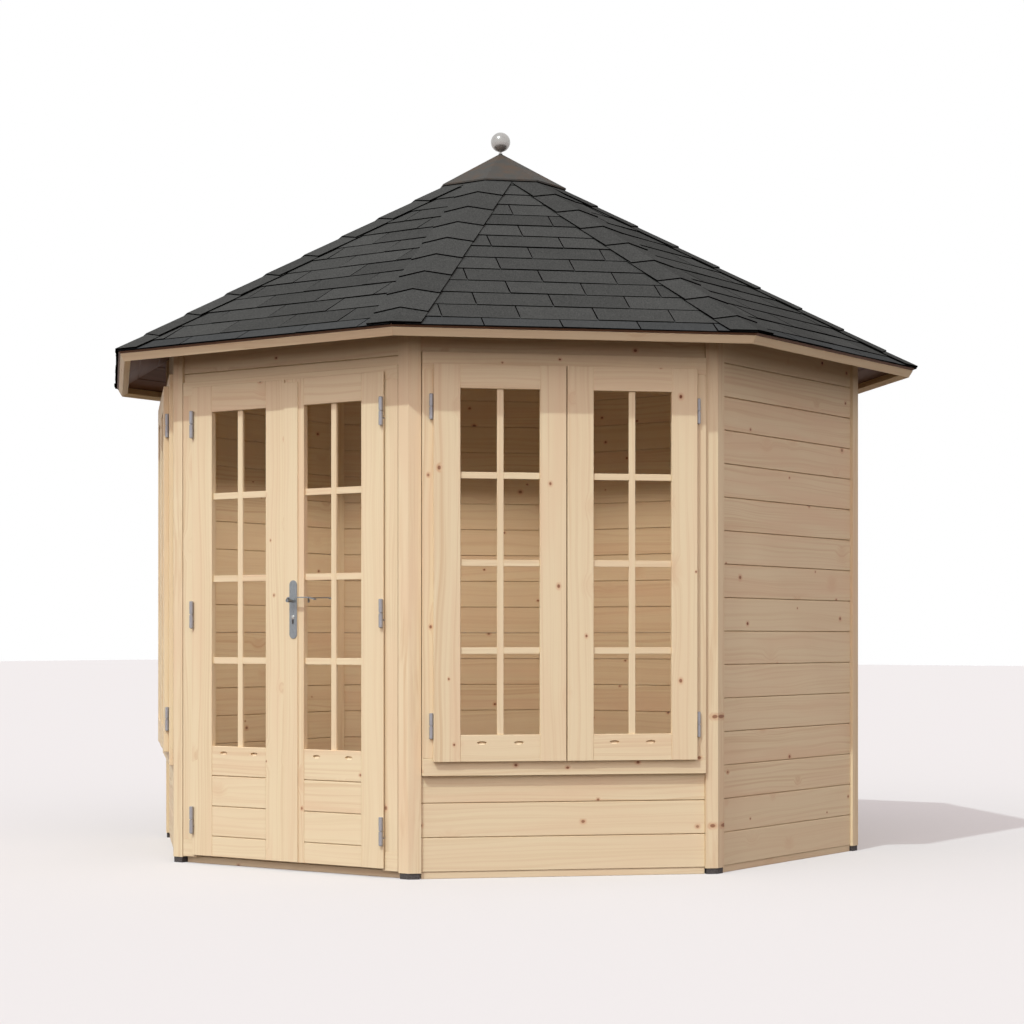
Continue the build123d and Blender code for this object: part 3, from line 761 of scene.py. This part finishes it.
def makeDoorFrame():
    d, place = doorSizes, wallMatrix(doorWall)
    layers = (d["back"], d["stopFace"], d["face"])
    across = (-d["half"], -d["opening"], d["opening"], d["half"])

    def rebated(a, o, z):
        return abs(a) > d["opening"] or o < d["stopFace"]

    def headRebated(a, o, z):
        return rebated(a, o, z) or z > d["openingTop"]
    for number, (side, mirror) in enumerate(sides.items()):
        pile = Pile("doorJamb." + side, 400 + number)
        jamb = blockwork(spread(mirror, d["stop"], d["opening"], d["half"]), layers,
                         (d["threshold"], d["stopTop"]), rebated)
        pile.add(jamb, place, grain="up", knots=0.3)
        pile.timber("door_jamb_" + side)
    pile = Pile("doorHead", 410)
    heights = (d["stopTop"], d["openingTop"], d["top"])
    pile.add(blockwork(across, layers, heights, headRebated), place, knots=0.3)
    pile.timber("door_head")
    pile = Pile("doorThreshold", 411)
    pile.add(blockwork(across, layers, (d["bottom"], d["threshold"]), rebated), place, knots=0.15)
    pile.timber("door_threshold")


def panelBoard(mirror, low, high):
    # one board under the glass, tongued into the next; the top one carries the glass and has the drains
    d = doorSizes
    back, face = d["leafBack"] + d["panelSet"], d["leafFace"] - d["panelSet"]
    rebateFace, isTop = d["glassFront"] + d["rebateGap"], high == d["paneBottom"]
    if isTop:
        seat = high - d["rebate"]
        outline = [(back, low), (face, low), (face, high), (rebateFace, high), (rebateFace, seat),
                   (back, seat)]
    else:
        outline = boardOutline(low, high + d["panelLap"], back, face)
    if low > d["leafFoot"]:
        outline = [(o, max(z, low + d["panelLap"])) for o, z in outline]
    board = prism(outline, *spread(mirror, d["paneLeft"], d["paneRight"]), "along")
    soften(board, boardSizes["arris"])
    return carve(board, drainPair(mirror, d, face)) if isTop else board


def makeLeaf(number, side, mirror):
    d, place = doorSizes, wallMatrix(doorWall)
    rebateFace = d["glassFront"] + d["rebateGap"]
    layers = (d["leafBack"], rebateFace, d["lipBack"], d["leafFace"])
    low, high = d["paneBottom"] - d["rebate"], d["paneTop"] + d["rebate"]
    heights = (d["leafFoot"], low, high, d["bodyTop"], d["leafHead"])

    def lipped(a, o, z):
        if o < rebateFace and inPane(a, z, d):
            return False
        return o > d["lipBack"] or (abs(a) < d["bodyOuter"] and z < d["bodyTop"])
    pile = Pile("doorLeaf." + side, 420 + number)
    stile = spread(mirror, d["paneRight"], d["paneRight"] + d["rebate"], d["bodyOuter"], d["leafOuter"])
    outer = blockwork(stile, layers, heights, lipped)
    # notches in the lip round the hinge bolts
    notch = spread(mirror, hingeSizes["x"] - hingeSizes["notchSide"], hingeSizes["notchEnd"])
    cutters = []
    for hinge in hingeSizes["heights"]:
        middle = hinge - hingeSizes["notchDrop"]
        level = (middle - hingeSizes["notchHalf"], middle + hingeSizes["notchHalf"])
        cutters.append(blockwork(notch, (d["notchBack"], d["notchFace"]), level))
    soften(outer, softEdge)
    pile.add(carve(outer, cutters), place, grain="up", knots=0.35, edge=0)
    stile = spread(mirror, d["leafInner"], d["paneLeft"] - d["rebate"], d["paneLeft"])
    inner = blockwork(stile, layers, heights, lipped)
    for v in inner.verts:
        if abs(v.co.x) < d["leafInner"] + 0.1 and v.co.y < d["lipBack"] - 1:
            v.co.x = mirror * (d["leafInner"] + d["meetingGap"])
    pile.add(inner, place, grain="up", knots=0.35)
    rails = spread(mirror, d["paneLeft"], d["paneRight"])
    topHeights = (d["paneTop"], high, d["bodyTop"], d["leafHead"])
    pile.add(blockwork(rails, layers, topHeights, lipped), place, knots=0.4)
    joints = (d["leafFoot"],) + d["panelJoints"] + (d["paneBottom"],)
    for start, end in zip(joints, joints[1:]):
        pile.add(panelBoard(mirror, start, end), place, knots=0.3, edge=0)
    glazingBars(pile, place, mirror, d, d["leafFace"])
    pile.timber("door_leaf_" + side, side + "_door")


def makeDoorLeaves():
    d = doorSizes
    for number, (side, mirror) in enumerate(sides.items()):
        makeLeaf(number, side, mirror)
    pile = Pile("meetingStrip", 430)
    box(pile, wallMatrix(doorWall), (-1.0, d["stripRight"]), (d["leafFace"] + 0.1, d["stripFace"]),
        (d["stripBottom"], d["stripTop"]), grain="up", knots=0.05, edge=1.5)
    pile.timber("meeting_strip", "right_door")


makeSills()
makePosts()
makeWalls()
print("posts and walls made")
makeWindows()
makeDoorFrame()
makeDoorLeaves()
print("windows and doors made")


# Roof
roofSizes = {
    "boardWidth": 96.0, "boardJoint": 2.5, "boardGap": 0.2, "hole": 30.0, "spare": 5.0, "fasciaGap": 0.6,
    "fasciaDrop": 32.0, "fasciaThick": 28.0, "mitreGap": 0.4,
    "firstCourse": 66.0, "exposure": 118.0, "overhang": 7.0,
    "tabWidth": 275.0, "firstJoint": -50.0, "tabGap": 4.5,
    "tabHigh": (3.6, 6.8), "tabOverlap": 22.0, "underlay": 0.25,
    "underlayFoot": 0.02, "tabFoot": 0.03, "hipGap": 3.0, "tabTop": 0.8, "tabLeast": 6.0,
    "capFoot": 5.8, "capOverlap": 26.0, "capSpare": 30.0, "capThin": 1.2,
    "capWidth": 98.0, "firstCap": 133.0, "capExposure": 188.5, "capLow": 8.0, "capHigh": 12.5,
    "capEnd": 250.0,
    "roofEnd": 60.0,
}
upSlope = Vector((0, -math.cos(slope), math.sin(slope)))      # up a roof face, in its wall's own axes
offSlope = Vector((0, math.sin(slope), math.cos(slope)))
eave = Vector((0, house["eaveReach"], house["eaveHeight"]))
eaveHalf = house["eaveReach"] * math.tan(halfTurn)


def slopePoint(along, rise, lift):
    point = eave + upSlope * rise + offSlope * lift
    return (along, point.y, point.z)


def addMitred(pile, number, outline, half, **how):
    # a bar along a roof face, cut off at the vertical planes through the face's two hips
    bm = prism([(p.y, p.z) for p in outline], -half, half, "along")
    for side in (1, -1):
        normal = Vector((side * math.cos(halfTurn), -math.sin(halfTurn), 0))
        cut(bm, -normal * roofSizes["mitreGap"] / 2, normal)
    pile.add(bm, wallMatrix(house["turn"] * number), **how)


def makeRoofBoards():
    r, thick = roofSizes, house["roofBoard"]
    pile = Pile("roofBoards", 500)
    length = (house["eaveReach"] - r["hole"]) / math.cos(slope)
    half = (house["eaveReach"] + r["spare"]) * math.tan(halfTurn) + r["spare"]
    joint = r["boardJoint"]
    for number in range(8):
        start = 0.0
        while start < length - 1:
            end = min(start + r["boardWidth"], length)
            # a board with a small V joint on its underside
            profile = [(start, -thick + joint), (start + joint, -thick), (end - joint, -thick),
                       (end - r["boardGap"], -thick + joint), (end - r["boardGap"], 0), (start, 0)]
            outline = [eave + upSlope * a + offSlope * b for a, b in profile]
            addMitred(pile, number, outline, half, knots=0.5, edge=0)
            start = end
    # the roof boards take the darker spruce, painted shade on their undersides
    pile.finish([paintedShadeSpruce], "pavilion", "spruce", "roof_boards")


def makeFascia():
    r = roofSizes
    top = eave - offSlope * (house["roofBoard"] + r["fasciaGap"])
    foot = top - offSlope * (r["fasciaDrop"] - r["fasciaGap"])
    outline = [top, foot, foot + upSlope * r["fasciaThick"], top + upSlope * r["fasciaThick"]]
    pile = Pile("fasciaBoards", 510)
    for number in range(8):
        addMitred(pile, number, outline, eaveHalf + r["spare"], knots=0.2, edge=1.5)
    pile.timber("fascia")


def clip(polygon, a, b, c):
    # the part of a flat polygon where a*x + b*y <= c
    result = []
    for n, p in enumerate(polygon):
        q = polygon[(n + 1) % len(polygon)]
        dp, dq = a * p[0] + b * p[1] - c, a * q[0] + b * q[1] - c
        if dp <= 0:
            result.append(p)
        if (dp < 0 < dq) or (dq < 0 < dp):
            t = dp / (dp - dq)
            result.append((p[0] + (q[0] - p[0]) * t, p[1] + (q[1] - p[1]) * t))
    return result


# tops take the felt face; sides and feet take the near-black edge felt, partly painted shade
def topFace(f):
    return 0 if f.normal.z > 0.3 else 1


def layTab(pile, place, dice, left, low, high, knots):
    # one tab of a course, thick at its foot and thin at its top, kept just short of the hips
    r = roofSizes
    lean = math.tan(halfTurn) * math.cos(slope)
    wobble = dice.uniform(-0.8, 0.8)
    thick = [dice.uniform(*r["tabHigh"]) for end in (0, 1)]
    near, far = left + r["tabGap"] / 2, left + r["tabWidth"] - r["tabGap"] / 2
    shape = [(near, low + wobble), (far, low + wobble), (far, high), (near, high)]
    for side in (1, -1):
        shape = clip(shape, side, lean, eaveHalf - r["hipGap"]) if len(shape) > 2 else []
    rises = [v for s, v in shape]
    if len(shape) < 3 or max(rises) - min(rises) < r["tabLeast"]:
        return
    upper = []
    for s, v in shape:
        share = min(max((v - low) / (high - low), 0), 1)
        swell = thick[0] + (thick[1] - thick[0]) * (s - left) / r["tabWidth"]
        upper.append(slopePoint(s, v, swell + (r["tabTop"] - swell) * share))
    lower = [slopePoint(s, v, r["underlay"] + r["tabFoot"]) for s, v in shape]
    pile.add(skin((lower, upper)), place, grain="out", knots=knots, mark=topFace, edge=0)


def makeShingles():
    r = roofSizes
    total = (house["eaveReach"] - r["roofEnd"]) / math.cos(slope)
    pile, dice = Pile("roofShingles", 520), random.Random(521)
    # dark underlay that shows in the joints, in the near-black felt that is partly painted shade
    foot, head = eaveHalf - r["hipGap"], eaveHalf - r["hipGap"] - math.tan(halfTurn) * math.cos(slope) * total
    start = -r["overhang"] + r["hipGap"]
    corners = [(-foot, start), (foot, start), (head, total), (-head, total)]
    for face in range(8):
        place = wallMatrix(house["turn"] * face)
        wander = dice.uniform(-40, 40) if face < 6 else 0.0
        sheet = skin([[slopePoint(s, v, w) for s, v in corners] for w in (r["underlayFoot"], r["underlay"])])
        pile.add(sheet, place, grain="out", mark=lambda f: 1, edge=0)
        course, low = 0, -r["overhang"]
        while low <= total:
            high = min(r["firstCourse"] + course * r["exposure"] + r["tabOverlap"], total)
            offset = r["firstJoint"] + wander + (course % 2) * r["tabWidth"] / 2
            left = offset - r["tabWidth"] * math.ceil((eaveHalf + offset) / r["tabWidth"])
            while left < eaveHalf:
                layTab(pile, place, dice, left, low, high, 0.0 if course else 1.0)
                left += r["tabWidth"]
            low = r["firstCourse"] + course * r["exposure"]
            course += 1
    pile.finish([shingle, bitumenWithPaintedShade], "pavilion", "shingle", "roof_shingles")


def makeHipCaps():
    r = roofSizes
    pile, dice = Pile("hipCaps", 540), random.Random(541)
    # one hip, drawn on the +X side, between the faces that lean to each side of it
    corner = Vector((house["eaveReach"] / math.cos(halfTurn), 0, house["eaveHeight"]))
    hip = Vector((0, 0, roofHeight(0))) - corner
    along, length = hip.normalized(), hip.length
    faces = []
    for side in (1, -1):
        across = roofNormal(side).cross(along) * side
        faces.append((roofNormal(side), across if across.y * side > 0 else -across))

    def capRing(at, width, high, trimmed):
        # one end of a tile; the first tile's foot is trimmed level with the eave
        def point(side, distance, lift, trim):
            normal, across = faces[side]
            shift = at
            if trimmed:
                up = (Vector((0, 0, 1)) - normal * normal.z).normalized()
                shift = (-r["overhang"] - trim * across.dot(up)) / along.dot(up)
            return corner + along * shift + across * distance + normal * lift

        def fold(lift):
            # over the hip itself
            normal, across = faces[0]
            return point(0, -lift * normal.y / across.y, lift, 0.0)
        low = r["capFoot"]
        return [point(0, width, low, width), point(0, width, high, width), fold(high),
                point(1, width, high, width), point(1, width, low, width), fold(low)]
    for number in range(8):
        start, count = 0.0, 0
        while start < length - r["capEnd"]:
            step = r["capExposure"] if count else r["firstCap"]
            end = min(start + step + r["capOverlap"], length - r["capEnd"] + r["capSpare"])
            share = (end - start) / (step + r["capOverlap"])
            width = r["capWidth"] + dice.uniform(-1.5, 1.5)
            upperHigh = r["capHigh"] + (r["capLow"] - r["capThin"] - r["capHigh"]) * share
            rings = (capRing(start, width, r["capHigh"], count == 0), capRing(end, width, upperHigh, False))
            pile.add(skin(rings), cornerMatrix(number), knots=0.0, mark=topFace, edge=0)
            start += step
            count += 1
    pile.finish([shingle, bitumenWithPaintedShade], "pavilion", "shingle", "hip_caps")


def makeRafters():
    sizes = {"width": 40.0, "depth": 80.0, "from": 60.0, "to": 1394.0, "kingDepth": 170.0}
    ratio, half = math.cos(halfTurn), sizes["width"] / 2
    tops = [(reach, roofHeight(reach * ratio, roofUnder)) for reach in (sizes["from"], sizes["to"])]
    outline = [(reach, top - sizes["depth"]) for reach, top in tops] + tops[::-1]
    pile = Pile("hipRafters", 560)
    for number in range(8):
        bm = prism(outline, -half, half, "out")
        cutUnderRoof(bm)
        pile.add(bm, cornerMatrix(number), knots=0.3, edge=1.5)
    pile.timber("hip_rafters")
    pile = Pile("kingBlock", 570)
    flat = sizes["from"] / ratio
    top = roofHeight(flat, roofUnder)
    turns = [math.radians(house["turn"] * (n + 0.5)) for n in range(8)]
    bm = prism([(flat * math.cos(t), flat * math.sin(t)) for t in turns], top - sizes["kingDepth"], top, "up")
    pile.add(bm, Matrix.Identity(4), grain="up", knots=0.2, edge=2.0)
    pile.timber("king_block")


makeRoofBoards()
makeFascia()
makeShingles()
makeHipCaps()
makeRafters()
print("roof made")


# Metalwork
def lathe(pile, profile, place, steps=28):
    # a closed turned piece; profile is (radius, height) from the lower end to the upper end
    turns = [2 * math.pi * n / steps for n in range(steps)]
    rings = [[(radius * math.cos(t), radius * math.sin(t), height) for t in turns]
             for radius, height in profile]
    pile.add(skin(rings, caps=(-1, 1)), place, grain="up", edge=0)


def shift(x, y, z, turn=None):
    place = Matrix.Translation(Vector((x, y, z)) * 0.001)
    return place @ turn if turn else place


def smoothByAngle(piece, degrees):
    mesh = piece.data
    mesh.polygons.foreach_set("use_smooth", [True] * len(mesh.polygons))
    mesh.set_sharp_from_angle(angle=math.radians(degrees))


def makeBallPiece():
    sizes = {"radius": 40.0, "middle": 2889.2, "neck": 5.0, "capTip": 2840.2, "spike": 4.0,
             "spikeFoot": 2690.0, "collar": 8.5}
    tip = sizes["capTip"]
    profile = [(sizes["spike"], sizes["spikeFoot"]), (sizes["spike"], tip - 1), (sizes["collar"], tip - 0.5),
               (sizes["collar"], tip + 2.0), (sizes["neck"], tip + 3.5), (sizes["neck"], tip + 8.0)]
    for n in range(1, 24):
        angle = math.radians(-90 + 180 * n / 24)
        height = sizes["middle"] + sizes["radius"] * math.sin(angle)
        if height > tip + 9.5:
            profile.append((sizes["radius"] * math.cos(angle), height))
    profile.append((0.6, sizes["middle"] + sizes["radius"] - 0.02))
    pile = Pile("finialBall", 600)
    lathe(pile, profile, Matrix.Identity(4), steps=48)
    smoothByAngle(pile.finish([ballMetal], "pavilion", "ball", "finial_ball"), 40)


def makeHinges():
    h = hingeSizes
    half, knuckle, radius, pin, bolt = h["split"] / 2, h["knuckle"], h["radius"], h["pin"], h["bolt"]
    bore, low, high = pin + h["play"], -half - knuckle, half + knuckle
    drop = half + knuckle / 2
    pinProfile = [(2.0, low - h["tip"]), (radius - 1.5, low - 1.5), (radius, low), (radius, -half - 0.8),
                  (radius - 0.8, -half), (pin, -half), (pin, half + 38.0)]
    sleeveProfile = [(bore, half + 39.0), (bore, half), (radius - 0.8, half), (radius, half + 0.8),
                     (radius, high - 1.5), (radius - 1.5, high)]
    frameBolt = [(bolt, 0), (bolt, h["y"] - doorSizes["face"] + h["inFrame"])]
    leafBolt = [(bolt, bore + 1.0), (bolt, h["y"] - doorSizes["leafFace"] + h["inLeaf"])]
    turnOut = Matrix.Rotation(math.radians(-90), 4, "X")      # lays a turned piece along +Y
    fixed = Pile("hingePins", 610)
    for side, mirror in sides.items():
        moving = Pile("hingeSleeves." + side, 611 + mirror)
        for height in h["heights"]:
            middle = shift(mirror * h["x"], -h["y"], height)
            lathe(fixed, pinProfile, middle)
            lathe(moving, sleeveProfile, middle)
            lathe(fixed, frameBolt, shift(mirror * h["x"], -h["y"], height - drop, turnOut), steps=16)
            lathe(moving, leafBolt, shift(mirror * h["x"], -h["y"], height + drop, turnOut), steps=16)
        smoothByAngle(moving.finish([zinc], side + "_door", "zinc", "door_hinges_" + side), 35)
    smoothByAngle(fixed.finish([zinc], "pavilion", "zinc", "frame_hinges"), 35)


def makeWindowHinges():
    h = {"s": windowSizes["sashOuter"] + 7.3, "out": 1371.5, "heights": (538.0, 1655.0), "radius": 7.0,
         "length": 90.0}
    end, q = h["length"] / 2, h["radius"]
    profile = [(q - 1.5, -end), (q, -end + 1.5), (q, -1.9), (q - 3.0, -1.4), (q - 3.0, 1.4), (q, 1.9),
               (q, end - 1.5), (q - 1.5, end)]
    pile = Pile("windowHinges", 620)
    for angle in windowWalls.values():
        for mirror in (1, -1):
            for height in h["heights"]:
                lathe(pile, profile, wallMatrix(angle) @ shift(mirror * h["s"], h["out"], height))
    smoothByAngle(pile.finish([zinc], "pavilion", "zinc", "window_hinges"), 35)


def arc(middle, radius, start):
    # half a circle in 16 steps
    turns = [start + math.pi * n / 16 for n in range(17)]
    return [(middle[0] + radius * math.cos(t), middle[1] + radius * math.sin(t)) for t in turns]


def leverOutline(h):
    # a flat blade that bends up out of the neck, runs level and slopes down to its tip
    top, tip = h["lever"] + h["rise"], h["middle"] + h["length"]
    spine = [(h["middle"], h["lever"])]
    for n in range(7):
        angle = math.pi / 2 * n / 6
        spine.append((h["middle"] + h["bend"] * (1 - math.cos(angle)),
                      top - h["bend"] * (1 - math.sin(angle))))
    spine += [(tip - h["slope"] - 3, top), (tip - h["slope"] + 3, top - 0.6), (tip, top - h["drop"])]
    upper, lower = [], []
    for n, (s, z) in enumerate(spine):
        before, after = Vector(spine[max(n - 1, 0)]), Vector(spine[min(n + 1, len(spine) - 1)])
        run = (after - before).normalized() * h["blade"] / 2
        upper.append((s - run.y, z + run.x))
        lower.append((s + run.y, z - run.x))
    return upper + lower[::-1]


def makeHandles():
    h = {"middle": 46.5, "bottom": 843.0, "height": 212.0, "width": 35.5, "thick": 3.0, "lever": 981.0,
         "neck": 6.5, "reach": 34.0, "deep": 12.0, "blade": 4.0, "rise": 11.0, "drop": 8.0, "length": 128.0,
         "slope": 30.0, "bend": 6.0, "lock": 921.0, "lockRadius": 8.0, "keyHalf": 2.2, "key": (24.0, 8.5)}
    pile, shine, dark = Pile("doorHandles", 630), Pile("lockRings", 631), Pile("lockKeywaysPaintedShade", 632)
    wall, r = wallMatrix(doorWall), h["width"] / 2
    middle, neck, ring = h["middle"], h["neck"], h["lockRadius"]
    plate = arc((middle, h["bottom"] + h["height"] - r), r, 0.0) + arc((middle, h["bottom"] + r), r, math.pi)
    neckProfile = [(neck + 1.5, -0.5), (neck + 1.5, 2.5), (neck, 4), (neck, h["reach"] - 0.8),
                   (neck - 0.8, h["reach"])]
    for face, way in ((doorSizes["stripFace"], 1), (doorSizes["leafBack"], -1)):
        front = face + way * h["thick"]
        out = Matrix.Rotation(math.radians(-90 * way), 4, "X")
        pile.add(prism(plate, *sorted((face, front)), "out"), wall, grain="up", edge=0.9)
        lathe(pile, neckProfile, wall @ shift(middle, front, h["lever"], out))
        ends = sorted((front + way * h["reach"], front + way * (h["reach"] - h["deep"])))
        pile.add(prism(leverOutline(h), *ends, "out"), wall, edge=0.8)
        ringProfile = [(ring, -0.5), (ring, 1.0), (ring - 4.5, 5.0)]
        lathe(shine, ringProfile, wall @ shift(middle, front, h["lock"], out))
        # the keyways are dark rubber bars on the cylinders: painted shade for the slots
        box(dark, wall, (middle - h["keyHalf"], middle + h["keyHalf"]), sorted((front, front + way * 4.0)),
            (h["lock"] - h["key"][0], h["lock"] - h["key"][1]), edge=0.8)
    smoothByAngle(pile.finish([handleMetal], "right_door", "handle", "door_handles"), 40)
    smoothByAngle(shine.finish([ballMetal], "right_door", "handle"), 30)
    dark.finish([padRubber], "right_door", "handle")


makeBallPiece()
makeHinges()
makeWindowHinges()
makeHandles()
for name, material in (("post_pads", padRubber), ("roof_cap", capSheet), ("window_glass", glass),
                       ("door_glass_left", glass), ("door_glass_right", glass)):
    slots = nodes[name].material_slots
    if len(slots) == 0:
        nodes[name].data.materials.append(material)
    for slot in slots:
        slot.material = material
print("metalwork made")


# Floor, light and camera
light = {"sunAzimuth": -86.0, "sunHeight": 49.6, "sun": 1.6, "sunWidth": 1.0, "sunFar": 12.0,
         "sunColour": (0.89, 1.0, 0.985), "sky": 0.62, "skyColour": (1.0, 0.865, 0.87, 1),
         "glow": 1.35, "glowAzimuth": -75.0, "glowHeight": 20.0,
         "room": 18.5, "roomWide": 2.3, "roomHigh": 1.54, "roomColour": (1.0, 0.83, 0.73),
         "floor": 60.0, "floorLit": (0.085, 0.062, 0.046, 1), "floorSeen": (0.55, 0.55, 0.55, 1),
         "floorGlow": 0.2}


def makeFloor():
    mesh = bpy.data.meshes.new("floor")
    size = light["floor"]
    corners = [(-size, -size, 0), (size, -size, 0), (size, size, 0), (-size, size, 0)]
    mesh.from_pydata(corners, [], [(0, 1, 2, 3)])
    floor = addObject("floor", mesh)
    g = Graph("paleFloor")
    g.nodes.remove(g.shader)
    # the camera sees a pale floor with the shadow on it; the object gets less light back from a darker one
    pale = g.add("BsdfDiffuse", Color=light["floorSeen"])
    glow = g.add("Emission", Color=(1, 1, 1, 1), Strength=light["floorGlow"])
    both = g.add("AddShader")
    g.put(pale.outputs[0], both.inputs[0])
    g.put(glow.outputs[0], both.inputs[1])
    g.choose(g.seen(), g.add("BsdfDiffuse", Color=light["floorLit"]), both)
    mesh.materials.append(g.material)


def makeSky():
    world = bpy.data.worlds.new("softSky")
    bpy.context.scene.world = world
    g = SkyGraph(world)
    x, y, z = g.split(g.add("TexCoord").outputs["Generated"])
    way = direction(light["glowAzimuth"], light["glowHeight"])
    side = g.scaled(x, way.x, g.times(y, way.y))
    side = g.math("MAXIMUM", g.scaled(z, way.z, side), 0.0)
    strength = g.scaled(g.math("POWER", side, 2.0), light["glow"], light["sky"])
    white = g.add("Background", Color=(1, 1, 1, 1))
    g.choose(g.seen(), g.add("Background", Color=light["skyColour"], Strength=strength), white)


def makeLamps():
    # a wide soft lamp inside, above head height, that shines down
    room = bpy.data.lights.new("roomLamp", "AREA")
    room.shape, room.size = "DISK", light["roomWide"]
    room.energy, room.color = light["room"], light["roomColour"]
    roomLamp = addObject("roomLamp", room)
    roomLamp.location = (0, 0, light["roomHigh"])
    for ray in ("visible_camera", "visible_glossy", "visible_transmission"):
        setattr(roomLamp, ray, False)
    lamp = bpy.data.lights.new("softSun", "SUN")
    lamp.energy, lamp.angle, lamp.color = light["sun"], math.radians(light["sunWidth"]), light["sunColour"]
    sun = addObject("softSun", lamp)
    toSun = direction(light["sunAzimuth"], light["sunHeight"])
    sun.rotation_mode = "QUATERNION"
    sun.rotation_quaternion = toSun.to_track_quat("Z", "Y")
    sun.location = toSun * light["sunFar"]


def makeCamera():
    view = {"place": (5.4358, -7.6936, 0.8424), "look": (-0.57293, 0.81960, 0.0), "lens": 80.35,
            "sensor": 36.0, "lift": 0.12398}
    data = bpy.data.cameras.new("camera")
    data.lens, data.sensor_width, data.shift_y = view["lens"], view["sensor"], view["lift"]
    data.clip_end = 200.0
    camera = addObject("camera", data)
    camera.location = view["place"]
    camera.rotation_mode = "QUATERNION"
    camera.rotation_quaternion = Vector(view["look"]).to_track_quat("-Z", "Y")
    bpy.context.scene.camera = camera


makeFloor()
makeSky()
makeLamps()
makeCamera()
bpy.context.scene.view_settings.view_transform = "Standard"
print("light and camera set")
